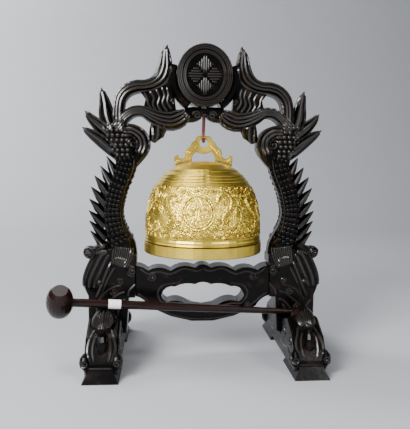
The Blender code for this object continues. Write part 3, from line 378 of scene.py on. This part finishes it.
def scale_tree():
    """A node tree that sets a fish scale on each point, turned and sized as the point says."""
    group = bpy.data.node_groups.new("fish_scales", "GeometryNodeTree")
    group.interface.new_socket("Geometry", in_out="INPUT", socket_type="NodeSocketGeometry")
    length = group.interface.new_socket("Scale length", in_out="INPUT", socket_type="NodeSocketFloat")
    surface = group.interface.new_socket("Surface", in_out="INPUT", socket_type="NodeSocketMaterial")
    group.interface.new_socket("Geometry", in_out="OUTPUT", socket_type="NodeSocketGeometry")
    source = add_node(group, "NodeGroupInput")
    ball = add_node(group, "GeometryNodeMeshUVSphere", {"Segments": 10, "Rings": 6, "Radius": 1.0})
    scale = add_node(group, "GeometryNodeTransform", {"Scale": SCALE_SHAPE},
                     {"Geometry": ball.outputs["Mesh"]})
    turn = add_node(group, "GeometryNodeInputNamedAttribute", {"data_type": "FLOAT_VECTOR", "Name": "turn"})
    share = add_node(group, "GeometryNodeInputNamedAttribute", {"data_type": "FLOAT", "Name": "share"})
    size = add_node(group, "ShaderNodeMath", {"operation": "MULTIPLY"},
                    {0: source.outputs["Scale length"], 1: share.outputs["Attribute"]})
    copies = add_node(group, "GeometryNodeInstanceOnPoints", {}, {
        "Points": source.outputs["Geometry"], "Instance": scale.outputs["Geometry"],
        "Rotation": turn.outputs["Attribute"], "Scale": size.outputs[0]})
    real = add_node(group, "GeometryNodeRealizeInstances", {}, {"Geometry": copies.outputs["Instances"]})
    coated = add_node(group, "GeometryNodeSetMaterial", {},
                      {"Geometry": real.outputs["Geometry"], "Material": source.outputs["Surface"]})
    add_node(group, "NodeGroupOutput", {}, {"Geometry": coated.outputs["Geometry"]})
    return group, length.identifier, surface.identifier


def scale_places(board, side, inward):
    """The scales on one face of a board, as (place, turn, share of the scale length)."""
    stations = smooth_path(BODY_LINE, steps=5)
    body_top, body_bottom = BODY_LINE[0][1], BODY_LINE[-1][1]
    scales_found = []
    walked = 0
    for index in range(1, len(stations)):
        step = stations[index] - stations[index - 1]
        walked += math.hypot(step[0], step[1])
        if walked < SCALE_ROW_SPACING:
            continue
        walked = 0
        across, up, half_width = stations[index]
        heading = math.atan2(step[1], step[0])
        stagger = SCALE_STAGGER if index % 2 else -SCALE_STAGGER
        for place in range(SCALES_IN_ROW):
            share = SCALED_SHARE * (2 * (place + stagger) / (SCALES_IN_ROW - 1) - 1)
            sideways = share * half_width
            drawn = (across - sideways * math.sin(heading), up + sideways * math.cos(heading))
            hit = touch(board, placed([drawn], side)[0], inward)
            if hit is None:
                continue
            normal = hit[1] if hit[1].dot(inward) < 0 else -hit[1]
            along = Vector((side * -math.cos(heading), 0, -math.sin(heading)))
            along = (along - normal * along.dot(normal)).normalized()
            lifted = (along + normal * SCALE_LIFT).normalized()
            square = normal.cross(lifted).normalized()
            pose = Matrix((lifted, square, lifted.cross(square))).transposed()
            size = SMALLEST_SCALE + SCALE_GROWTH * (body_top - up) / (body_top - body_bottom)
            scales_found.append((hit[0] + normal * SCALE_RAISED * MM, pose.to_euler(), size))
    return scales_found


# Black lacquer on hardwood: nearly black, with sharp but weak glints and a few patches worn to brown.
lacquered_wood, tree, shader = new_material("black lacquered carved wood", "#050404", roughness=0.28)
shader.inputs["Specular IOR Level"].default_value = 0.14
where = add_node(tree, "ShaderNodeTexCoord").outputs["Object"]
pores = add_node(tree, "ShaderNodeTexNoise", {"Scale": 1 / (PORE_SPACING * MM), "Detail": 5.0},
                 {"Vector": where})
patches = add_node(tree, "ShaderNodeTexNoise", {"Scale": 1 / (WORN_PATCH_SPACING * MM), "Detail": 4.0},
                   {"Vector": where})
worn = add_node(tree, "ShaderNodeMapRange", {"From Min": 0.56, "From Max": 0.78, "To Max": 0.7},
                {"Value": patches.outputs["Fac"]})
tones = add_node(tree, "ShaderNodeMix",
                 {"data_type": "RGBA", MIX_FIRST: linear("#050404"), MIX_SECOND: linear("#2c1c15")},
                 {"Factor": worn.outputs["Result"]})
tree.links.new(tones.outputs[MIX_RESULT], shader.inputs["Base Color"])
gloss = add_node(tree, "ShaderNodeMapRange", {"To Min": 0.16, "To Max": 0.34},
                 {"Value": patches.outputs["Fac"]})
tree.links.new(gloss.outputs["Result"], shader.inputs["Roughness"])
uneven = add_node(tree, "ShaderNodeBump", {"Strength": 0.3, "Distance": PORE_DEPTH * MM},
                  {"Height": pores.outputs["Fac"]})
tree.links.new(uneven.outputs["Normal"], shader.inputs["Normal"])

# The same lacquer where hands and dusters have rubbed it: lighter and glossier, so that each ridge shows.
# Its lighter colour is partly that wear and partly a painted highlight, laid on every carved ridge.
rubbed_and_highlit_ridges, _, shader = new_material("black lacquer rubbed on its ridges", "#1b1714", roughness=0.28)
shader.inputs["Specular IOR Level"].default_value = 0.5
dress(lacquered_wood, *STAND_NODES)

scales, length_input, surface_input = scale_tree()
for side, side_name in SIDES.items():
    board = surface_of(side_name + "_upright")
    carving = bmesh.new()
    found = []
    for face in FACES:
        inward = Vector((0, face, 0))
        for line, flutes in RIBBONS:
            stations = smooth_path(line, steps=7)
            radius = FLUTE_FULLNESS * np.mean([half_width for _, _, half_width in stations]) / flutes
            for offset in np.linspace(-FLUTED_SHARE, FLUTED_SHARE, flutes):
                flute = placed(alongside(stations, offset), side)
                carve_line(carving, board, flute, inward, radius, FLUTE_PROUD)
        for across, up, radius, turns, hand in SPIRALS:
            curl = placed(spiral((across, up), radius, turns, hand), side)
            carve_line(carving, board, curl, inward, *CURL_RIDGE)
        for line in FACE_LINES:
            carve_line(carving, board, placed(smooth_path(line, steps=6), side), inward, *FACE_RIDGE)
        tips = smooth_path(SPIKE_TIPS, steps=7)[::STEPS_BETWEEN_SPIKES]
        roots = smooth_path(SPIKE_ROOTS, steps=7)[::STEPS_BETWEEN_SPIKES]
        for tip, root in zip(tips, roots):
            for groove in (-SPIKE_GROOVE, SPIKE_GROOVE):
                line = [root + (tip - root) * share + np.array([0, groove * (1 - share)])
                        for share in np.linspace(0, SPIKE_LINE_REACH, num=9)]
                carve_line(carving, board, placed(line, side), inward, *SPIKE_RIDGE)
        for middle, up, count in BEAD_ROWS:
            for place in range(count):
                across = middle + (place - (count - 1) / 2) * BEAD_SPACING
                hit = touch(board, placed([(across, up)], side)[0], inward)
                if hit:
                    add_ball(carving, hit[0] + inward * BEAD_SUNK * MM, BEAD_RADIUS, segments=10, rings=6)
        belly = [(across - BELLY_SET_IN * half_width, up)
                 for across, up, half_width in smooth_path(BODY_LINE, steps=5)]
        carve_line(carving, board, placed(belly, side), inward, *BELLY_RIDGE)
        eye_socket = touch(board, placed([EYE], side)[0], inward)
        if eye_socket:
            add_ball(carving, eye_socket[0], EYE_RADIUS, segments=14, rings=8)
        found += scale_places(board, side, inward)
    finish_piece(side_name + "_carving", carving, rubbed_and_highlit_ridges, "stand")

    points_mesh = bpy.data.meshes.new(side_name + "_scale_points")
    points_mesh.from_pydata([tuple(place) for place, _, _ in found], [], [])
    turn_values = points_mesh.attributes.new("turn", "FLOAT_VECTOR", "POINT")
    turn_values.data.foreach_set("vector", [angle for _, turn, _ in found for angle in turn])
    share_values = points_mesh.attributes.new("share", "FLOAT", "POINT")
    share_values.data.foreach_set("value", [share for _, _, share in found])
    holder = bpy.data.objects.new(side_name + "_scale_points", points_mesh)
    bpy.context.collection.objects.link(holder)
    setter = holder.modifiers.new("scales", "NODES")
    setter.node_group = scales
    setter[length_input] = SCALE_LENGTH * MM
    setter[surface_input] = lacquered_wood
    bpy.context.view_layer.update()
    scaled = bpy.data.meshes.new_from_object(holder.evaluated_get(bpy.context.evaluated_depsgraph_get()))
    bpy.data.objects.remove(holder, do_unlink=True)
    scaled.shade_smooth()
    scale_piece = bpy.data.objects.new(side_name + "_scales", scaled)
    bpy.context.collection.objects.link(scale_piece)
    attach(scale_piece, "stand")

# Medallion
# An oval drum of the same wood, held between the dragons' tails by two dowels. It is carved on both faces
# with rings round a cross of four fluted petals.
MEDALLION_RINGS = ((33.6, 36.9), (31.4, 34.7), (29.2, 32.5), (26.2, 29.5), (24.2, 27.5))
RING_STEPS = 60
PETALS = (
    # which way the petal points (across, up), its half width and its reach
    (0, 1, 10.5, 26), (0, -1, 10.5, 26), (1, 0, 12, 23), (-1, 0, 12, 23),
)
PETAL_FLUTES = 8
PETAL_FLUTED_SHARE = 0.9      # of the petal's half width
PETAL_TAPER = 0.5      # the share of the reach by which a flute at the petal's edge is shorter, at each end
PETAL_END = 1
RING_RIDGE = (1.0, 0.95)
PETAL_RIDGE = (1.2, 1.1)

drum = surface_of("medallion")
drum_low, drum_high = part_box("medallion")
drum_middle = (drum_low[2] + drum_high[2]) / 2 / MM
medallion_carving = bmesh.new()
for face in FACES:
    inward = Vector((0, face, 0))
    for half_across, half_up in MEDALLION_RINGS:
        oval = [(half_across * math.cos(turn), drum_middle + half_up * math.sin(turn))
                for turn in np.linspace(0, 2 * math.pi, RING_STEPS + 1)]
        carve_line(medallion_carving, drum, placed(oval), inward, *RING_RIDGE)
    for point_across, point_up, half_width, reach in PETALS:
        for lane in np.linspace(-PETAL_FLUTED_SHARE, PETAL_FLUTED_SHARE, PETAL_FLUTES):
            start = abs(lane) * PETAL_TAPER * reach + PETAL_END
            end = reach * (1 - PETAL_TAPER * abs(lane)) - PETAL_END
            beside = lane * half_width
            line = [(along * point_across + beside * point_up,
                     drum_middle + along * point_up + beside * point_across)
                    for along in np.linspace(start, end, num=10)]
            carve_line(medallion_carving, drum, placed(line), inward, *PETAL_RIDGE)
finish_piece("medallion_carving", medallion_carving, rubbed_and_highlit_ridges, "stand")

# Cross rail
# A sawn board with a scalloped top and a long window, tenoned and pegged into both uprights. A raised line
# is carved along its edges, and a curl at each of its ends.
RAIL_CURLS = ((64.5, 103), (58, 66))
RAIL_CURL_RADIUS = 5.5
RAIL_CURL_RIDGE = (1.2, 0.9)
RAIL_LINE_RIDGE = (1.5, 1.1)
RAIL_LINES = (
    # along the scalloped top, round the window, and along the bottom
    [(0, 113.5), (9, 110.5), (25, 113.5), (41, 106.5), (56, 109.5), (69, 107), (80, 113.5)],
    [(0, 57), (18, 60), (30, 66), (40, 68), (50, 68), (56, 76), (57, 84), (50, 92), (36, 94.5)],
    [(0, 48), (16, 49), (32, 52), (47, 57), (57, 64), (66, 68), (74, 75), (82, 81)],
)

rail = surface_of("cross_rail")
rail_carving = bmesh.new()
for face in FACES:
    inward = Vector((0, face, 0))
    for side in SIDES:
        for centre in RAIL_CURLS:
            curl = placed(spiral(centre, RAIL_CURL_RADIUS, turns=1.8, hand=-1), side)
            carve_line(rail_carving, rail, curl, inward, *RAIL_CURL_RIDGE)
        for line in RAIL_LINES:
            path = placed(smooth_path(line, steps=8), side)
            carve_line(rail_carving, rail, path, inward, *RAIL_LINE_RIDGE)
finish_piece("rail_carving", rail_carving, rubbed_and_highlit_ridges, "stand")

# Feet
# Two blocks set front to back under the uprights and screwed to them from below. Each has a fluted bun, a
# ridged nose and a ledge at both ends, and scrolls along its two sides.
BUN_TOP = 71.5
BUN_FLUTE_LENGTH = 17
BUN_HALF_WIDTH = 15
BUN_FLUTES = 11
BUN_ROUNDING = 1.1     # in radians, how far the flutes close in towards the bun's underside
NOSE_LINES = ([(4, 50), (9, 42), (10, 32), (8, 22)], [(9, 52), (14.5, 42), (15.5, 32), (12, 22)])
CORNER_CURL = (18.5, 21)
CORNER_CURL_RADIUS = 4.6
KNOB_HEIGHT = 55
KNOB_RADIUS = 3.4
LEDGE_HEIGHT = 15
LEDGE_HALF_WIDTH = 14
SIDE_SCROLLS = (
    # on a foot's side: distance from its middle, up, and radius
    (90, 21, 7), (70, 36, 8), (36, 38, 7),
)
SIDE_LINE = [(20, 22), (36, 19), (56, 22), (76, 17)]
BUN_RIDGE = (1.2, 0.7)
NOSE_RIDGE = (1.8, 1.0)
CORNER_RIDGE = (0.9, 0.7)
LEDGE_RIDGE = (1.4, 0.8)
SCROLL_RIDGE = (1.1, 0.9)
SIDE_RIDGE = (1.3, 0.9)

for side_name in SIDES.values():
    block = surface_of(side_name + "_foot")
    block_low, block_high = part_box(side_name + "_foot")
    middle = (block_low[0] + block_high[0]) / 2
    foot_carving = bmesh.new()
    for face in FACES:
        inward = Vector((0, face, 0))
        for across in np.linspace(-BUN_HALF_WIDTH, BUN_HALF_WIDTH, BUN_FLUTES):
            flute = [(across * math.cos(share * BUN_ROUNDING), BUN_TOP - BUN_FLUTE_LENGTH * share)
                     for share in np.linspace(0, 1, num=12)]
            carve_line(foot_carving, block, placed(flute, 1, middle), inward, *BUN_RIDGE)
        for flank in (1, -1):
            for line in NOSE_LINES:
                nose = placed(smooth_path(line, steps=6), flank, middle)
                carve_line(foot_carving, block, nose, inward, *NOSE_RIDGE)
            curl = placed(spiral(CORNER_CURL, CORNER_CURL_RADIUS, turns=1.5, hand=flank), flank, middle)
            carve_line(foot_carving, block, curl, inward, *CORNER_RIDGE)
        knob = touch(block, placed([(0, KNOB_HEIGHT)], 1, middle)[0], inward)
        if knob:
            add_ball(foot_carving, knob[0], KNOB_RADIUS, segments=14, rings=8)
        ledge = [(across, LEDGE_HEIGHT)
                 for across in np.linspace(-LEDGE_HALF_WIDTH, LEDGE_HALF_WIDTH, num=9)]
        carve_line(foot_carving, block, placed(ledge, 1, middle), inward, *LEDGE_RIDGE)
    for flank in (1, -1):
        inward = Vector((flank, 0, 0))
        for end in (1, -1):
            for from_middle, up, radius in SIDE_SCROLLS:
                scroll = [(middle, y * MM, z * MM)
                          for y, z in spiral((end * from_middle, up), radius, turns=2, hand=end)]
                carve_line(foot_carving, block, scroll, inward, *SCROLL_RIDGE)
            line = [(middle, end * y * MM, z * MM) for y, z in smooth_path(SIDE_LINE, steps=8)]
            carve_line(foot_carving, block, line, inward, *SIDE_RIDGE)
    finish_piece(side_name + "_foot_carving", foot_carving, rubbed_and_highlit_ridges, "stand")

# Screws and pin
# Two countersunk steel screws from below hold each upright in its foot, and a steel pin across the slot
# under the medallion carries the hook. The steel is plain and turned, with a soft grey shine.
plain_steel, _, _ = new_material("plain turned steel", "#9a9894", roughness=0.35, metallic=1.0)
dress(plain_steel, "left_foot_screw_left", "left_foot_screw_right", "right_foot_screw_left",
      "right_foot_screw_right", "hook_pin")

# Hook
# Steel wire bent to a loop over the pin and a bowl under the crown's ring. It is browned, which leaves a
# dull red-brown with little of the metal's shine.
browned_wire, _, _ = new_material("browned steel wire", "#6b3f38", roughness=0.45, metallic=0.55)
dress(browned_wire, "bell_hook")

# Bell
# Cast brass, turned on its rim and mouldings, with cast shoulder rings and a relief of dragons, clouds and
# waves in four panels, each round a medal with a rosette. The flat openwork crown is cast from the same
# brass and screwed on from inside. Lines on the bell are drawn as (distance round, up) in mm.
RELIEF_BOTTOM = 157.5
RELIEF_TOP = 219.5
RELIEF_RADIUS = 73.3
GIRTH = 2 * math.pi * RELIEF_RADIUS
PANELS = 4
PANEL_WIDTH = GIRTH / PANELS
RAISED_RINGS = ((RELIEF_BOTTOM, 0.9), (RELIEF_TOP, 0.8), (224.5, 1.1), (228, 1.1), (231.5, 1.1), (237.2, 0.9))
FIRST_MEDAL = -11.3    # the front medal sits a little to the left, as the bell has turned on its hook
MEDAL_HEIGHT = 189.4
MEDAL_RINGS = (19.8, 16.6)
ROSETTE_PETALS = 8
ROSETTE_EYE = 3
ROSETTE_PETAL_LENGTH = 10
ROSETTE_PETAL_BEND = 0.5
DRAGON_BACK = [(24, 199), (28, 209), (38, 211), (45, 203), (41, 193), (33, 186), (31, 176), (39, 166),
               (50, 168), (56, 178)]
SPINE_ROOT = 2.4
SPINE_LENGTH = 3.0
SPINE_RAKE = 2.0
SPINE_BEND = 0.4
BAND_REACH = 2.2
BAND_BEND = 1.3
CLAWS = (((20, 186), 2.7), ((47, 186), 0.3), ((27, 168), 2.0))      # each foot's place and heading
CLAW_RAYS = np.linspace(-0.9, 0.9, num=6)
CLAW_REACHES = (1.5, 4, 6.5, 8.5)
CLAW_BEND = 0.03
CLOUDS = (
    # across, up, radius and turns
    (24, 178, 3.8, 1.5), (52, 208, 4.6, 1.8), (37, 178, 3.2, 1.4), (52, 193, 4.2, 1.7), (19, 168, 3.6, 1.5),
    (33, 217, 2.4, 1.2), (12, 167, 3.0, 1.4), (13, 213, 3.4, 1.5), (57, 167, 3.2, 1.4), (21, 214, 3.2, 1.4),
    (4, 215, 2.6, 1.3), (4, 166, 2.6, 1.3), (46, 217, 2.6, 1.3), (34, 200, 3.0, 1.4), (46, 165, 2.4, 1.2),
    (56, 217, 2.4, 1.2),
)
WAVE_SPACING = 9.6
WAVE_RADII = (1.6, 3.2, 4.7)
WAVE_FOOT = 158.2
CAST_END = 0.4         # the share of a cast line's radius that is left at its ends
RING_PROUD = 0.8
MEDAL_RIDGE = (1.3, 1.3)
ROSETTE_RIDGE = (1.3, 1.2)
BODY_RIDGE = (3.6, 1.8)
SPINE_RIDGE = (0.9, 0.9)
BAND_RIDGE = (0.7, 2.2)
CLAW_RIDGE = (0.9, 0.95)
CLOUD_RIDGE = (0.95, 1.15)
WAVE_RIDGE = (0.7, 0.8)
STIPPLE_SPACING = 100 / 48     # 48 to 100 mm: coarser than real punch marks, so that they show
PIT_DEPTH = 0.9
TARNISH_PATCH_SPACING = 200 / 9
SHADE_REACH = 4       # how near a wall has to stand for a recess to take painted shade

# Cast brass: bright gold where it is rubbed, darkened to dull olive by painted shade in the recesses, and
# stippled with a punch in the ground of the relief.
cast_brass, tree, shader = new_material("cast brass with painted shade in its recesses", "#d2ae52",
                                       roughness=0.34, metallic=1.0)
where = add_node(tree, "ShaderNodeTexCoord").outputs["Object"]
stipple = add_node(tree, "ShaderNodeTexVoronoi", {"Scale": 1 / (STIPPLE_SPACING * MM)}, {"Vector": where})
tarnish = add_node(tree, "ShaderNodeTexNoise", {"Scale": 1 / (TARNISH_PATCH_SPACING * MM), "Detail": 5.0},
                   {"Vector": where})
# Painted shade: ambient occlusion darkens the brass towards dull olive in recesses that nearby walls shade.
hollow_shade = add_node(tree, "ShaderNodeAmbientOcclusion", {"samples": 6, "Distance": SHADE_REACH * MM})
unshaded_share = add_node(tree, "ShaderNodeMapRange", {"From Min": 0.45, "From Max": 0.95},
                      {"Value": hollow_shade.outputs["AO"]})
clean_share = add_node(tree, "ShaderNodeMapRange", {"From Min": 0.3, "From Max": 0.62, "To Min": 0.72},
                       {"Value": tarnish.outputs["Fac"]})
brightness = add_node(tree, "ShaderNodeMath", {"operation": "MULTIPLY"},
                      {0: unshaded_share.outputs["Result"], 1: clean_share.outputs["Result"]})
tones = add_node(tree, "ShaderNodeMix",
                 {"data_type": "RGBA", MIX_FIRST: linear("#6e5016"), MIX_SECOND: linear("#fcdc5c")},
                 {"Factor": brightness.outputs[0]})
tree.links.new(tones.outputs[MIX_RESULT], shader.inputs["Base Color"])
shine = add_node(tree, "ShaderNodeMapRange", {"To Min": 0.26, "To Max": 0.46},
                 {"Value": tarnish.outputs["Fac"]})
tree.links.new(shine.outputs["Result"], shader.inputs["Roughness"])
height = add_node(tree, "ShaderNodeSeparateXYZ", {}, {"Vector": where}).outputs["Z"]
above = add_node(tree, "ShaderNodeMath", {"operation": "GREATER_THAN", 1: RELIEF_BOTTOM * MM}, {0: height})
below = add_node(tree, "ShaderNodeMath", {"operation": "LESS_THAN", 1: RELIEF_TOP * MM}, {0: height})
in_relief = add_node(tree, "ShaderNodeMath", {"operation": "MULTIPLY"},
                     {0: above.outputs[0], 1: below.outputs[0]})
ground = add_node(tree, "ShaderNodeMath", {"operation": "MULTIPLY"},
                  {0: in_relief.outputs[0], 1: stipple.outputs["Distance"]})
pitting = add_node(tree, "ShaderNodeBump", {"Strength": 0.7, "Distance": PIT_DEPTH * MM},
                   {"Height": ground.outputs[0]})
tree.links.new(pitting.outputs["Normal"], shader.inputs["Normal"])
dress(cast_brass, "bell_shell", "bell_crown", "crown_screw_left", "crown_screw_right")

bell_wall = surface_of("bell_shell")
casting = bmesh.new()


def cast_line(points, radius, proud, middle=0.0, hand=1):
    """Lays a raised line round the bell, drawn to the right of a middle, or to the left for hand -1."""
    run = []
    for across, up in points:
        turn = (middle + hand * across) / RELIEF_RADIUS - math.pi / 2
        inward = Vector((-math.cos(turn), -math.sin(turn), 0))
        hit = touch(bell_wall, (0, 0, up * MM), inward)
        if hit:
            run.append(hit[0] + inward * (radius - proud) * MM)
    if len(run) > 2:
        raised_line(casting, run, radius, CAST_END)


def cast_medal(middle):
    """Casts a double ring with a rosette of eight bent petals in it."""
    for radius in MEDAL_RINGS:
        cast_line([(radius * math.cos(turn), MEDAL_HEIGHT + radius * math.sin(turn))
                   for turn in np.linspace(0, 2 * math.pi, num=49)], *MEDAL_RIDGE, middle)
    for start_turn in np.linspace(0, 2 * math.pi, ROSETTE_PETALS, endpoint=False):
        petal = []
        for share in np.linspace(0, 1, num=8):
            turn = start_turn + ROSETTE_PETAL_BEND * math.sin(math.pi * share)
            reach = ROSETTE_EYE + ROSETTE_PETAL_LENGTH * share
            petal.append((reach * math.cos(turn), MEDAL_HEIGHT + reach * math.sin(turn)))
        cast_line(petal, *ROSETTE_RIDGE, middle)


def cast_dragon(middle, hand):
    """Casts one dragon: a winding body with spines on both sides, bands across it, and three clawed feet."""
    back = smooth_path(DRAGON_BACK, steps=7)
    cast_line(back, *BODY_RIDGE, middle, hand)
    for index in range(3, len(back) - 2, 2):
        way = back[index + 1] - back[index - 1]
        way = way / np.hypot(*way)
        square = np.array([-way[1], way[0]])
        for flank in (1, -1):
            root = back[index] + flank * SPINE_ROOT * square
            tip = root + flank * SPINE_LENGTH * square - SPINE_RAKE * way
            cast_line([root, (root + tip) / 2 + way * SPINE_BEND, tip], *SPINE_RIDGE, middle, hand)
        band = [back[index] + BAND_REACH * square,
                back[index] - BAND_BEND * way,
                back[index] - BAND_REACH * square]
        cast_line(band, *BAND_RIDGE, middle, hand)
    for foot, lean in CLAWS:
        for ray in CLAW_RAYS:
            claw = [(foot[0] + reach * math.cos(lean + ray + reach * CLAW_BEND),
                     foot[1] + reach * math.sin(lean + ray + reach * CLAW_BEND)) for reach in CLAW_REACHES]
            cast_line(claw, *CLAW_RIDGE, middle, hand)


def cast_clouds_and_waves(middle, hand):
    """Casts curled clouds round a dragon, and a row of waves along the foot of the relief."""
    for across, up, radius, turns in CLOUDS:
        cast_line(spiral((across, up), radius, turns, hand), *CLOUD_RIDGE, middle, hand)
    for across in np.arange(WAVE_SPACING / 2, PANEL_WIDTH / 2, WAVE_SPACING):
        for radius in WAVE_RADII:
            crest = [(across + radius * math.cos(turn), WAVE_FOOT + radius * math.sin(turn))
                     for turn in np.linspace(0, math.pi, num=9)]
            cast_line(crest, *WAVE_RIDGE, middle, hand)


for up, radius in RAISED_RINGS:
    cast_line([(across, up) for across in np.linspace(0, GIRTH, num=121)], radius, RING_PROUD)
for panel in range(PANELS):
    panel_middle = FIRST_MEDAL + panel * PANEL_WIDTH
    cast_medal(panel_middle)
    for hand in (1, -1):
        cast_dragon(panel_middle, hand)
        cast_clouds_and_waves(panel_middle, hand)
finish_piece("bell_relief", casting, cast_brass, "bell")

# Crown relief
# Cast in one with the openwork crown, on both its faces: a curl in each cloud step, an edge line that follows
# the stepped outline, and half a ring over the hole.
CROWN_CURLS = ((31.5, 250, 3.4), (18, 261, 3.4), (24, 256, 2.6))
CROWN_EDGE_LINE = [(35.4, 245), (34.8, 248.6), (30.5, 247), (26, 247.6), (22.2, 250.2), (21.4, 255.4),
                   (17, 258.6), (14, 263.6), (10, 266.4), (8.4, 270)]
RING_MIDDLE_HEIGHT = 272
RING_LINE_RADIUS = 7.4
RING_LINE_START = 0.1
CROWN_CURL_RIDGE = (0.8, 0.6)
CROWN_EDGE_RIDGE = (0.9, 0.7)

crown = surface_of("bell_crown")
crown_casting = bmesh.new()
ring = [(RING_LINE_RADIUS * math.cos(turn), RING_MIDDLE_HEIGHT + RING_LINE_RADIUS * math.sin(turn))
        for turn in np.linspace(RING_LINE_START, math.pi - RING_LINE_START, num=19)]
for face in FACES:
    inward = Vector((0, face, 0))
    for side in SIDES:
        for across, up, radius in CROWN_CURLS:
            curl = placed(spiral((across, up), radius, turns=1.6, hand=-1), side)
            carve_line(crown_casting, crown, curl, inward, *CROWN_CURL_RIDGE)
        edge = placed(smooth_path(CROWN_EDGE_LINE, steps=5), side)
        carve_line(crown_casting, crown, edge, inward, *CROWN_EDGE_RIDGE)
    carve_line(crown_casting, crown, placed(ring), inward, *CROWN_CURL_RIDGE)
finish_piece("crown_relief", crown_casting, cast_brass, "bell")

# Mallet
# A turned handle with its tenon in a barrel head, both of dark wood under a red-brown lacquer. A blank
# paper label is stuck round the handle's front.
FIGURE_SPACING = 100 / 32      # 32 to 100 mm: coarser than the real grain, so that it shows
FIGURE_STRETCH = 0.12
OVER_LEFT_FOOT = Vector((-0.12075, -0.051, 0.0779))      # the handle's axis over the left foot, in metres
HANDLE_END = Vector((0.12775, -0.0197, 0.0567))
LABEL_FROM, LABEL_TO = 4.6, 19.4
PAPER_INSIDE, PAPER_OUTSIDE = 5.25, 5.6
LABEL_WRAP = 1.9       # in radians, from the front to each way round
LABEL_STEPS = 16

# Red-brown lacquer over straight-grained wood: dark, with streaks along the handle.
red_brown, tree, shader = new_material("dark red-brown lacquered wood", "#1a0d0c", roughness=0.24)
shader.inputs["Specular IOR Level"].default_value = 0.25
where = add_node(tree, "ShaderNodeTexCoord").outputs["Object"]
stretched = add_node(tree, "ShaderNodeMapping", {"Scale": (FIGURE_STRETCH, 1.0, 1.0)}, {"Vector": where})
figure = add_node(tree, "ShaderNodeTexNoise", {"Scale": 1 / (FIGURE_SPACING * MM), "Detail": 4.0},
                  {"Vector": stretched.outputs["Vector"]})
tones = add_node(tree, "ShaderNodeMix",
                 {"data_type": "RGBA", MIX_FIRST: linear("#0c0707"), MIX_SECOND: linear("#24120f")},
                 {"Factor": figure.outputs["Fac"]})
tree.links.new(tones.outputs[MIX_RESULT], shader.inputs["Base Color"])
dress(red_brown, "mallet_handle", "mallet_head")

# Uncoated label paper: matt and nearly white.
label_paper, _, _ = new_material("blank white label paper", "#e9e9e6", roughness=0.8)
handle_way = (HANDLE_END - OVER_LEFT_FOOT).normalized()
to_front = Vector((0, -1, 0))
to_front = (to_front - handle_way * to_front.dot(handle_way)).normalized()
to_top = handle_way.cross(to_front)
label = bmesh.new()
corners = []
for radius, along in ((PAPER_INSIDE, LABEL_FROM), (PAPER_INSIDE, LABEL_TO),
                      (PAPER_OUTSIDE, LABEL_TO), (PAPER_OUTSIDE, LABEL_FROM)):
    middle = OVER_LEFT_FOOT + handle_way * along * MM
    corners.append([
        label.verts.new(middle + (to_front * math.cos(turn) + to_top * math.sin(turn)) * radius * MM)
        for turn in np.linspace(-LABEL_WRAP, LABEL_WRAP, LABEL_STEPS + 1)])
for near, far in zip(corners, corners[1:] + corners[:1]):
    for index in range(LABEL_STEPS):
        label.faces.new([near[index], near[index + 1], far[index + 1], far[index]])
for end in (0, LABEL_STEPS):
    label.faces.new([corner[end] for corner in corners])
finish_piece("handle_label", label, label_paper, "mallet")
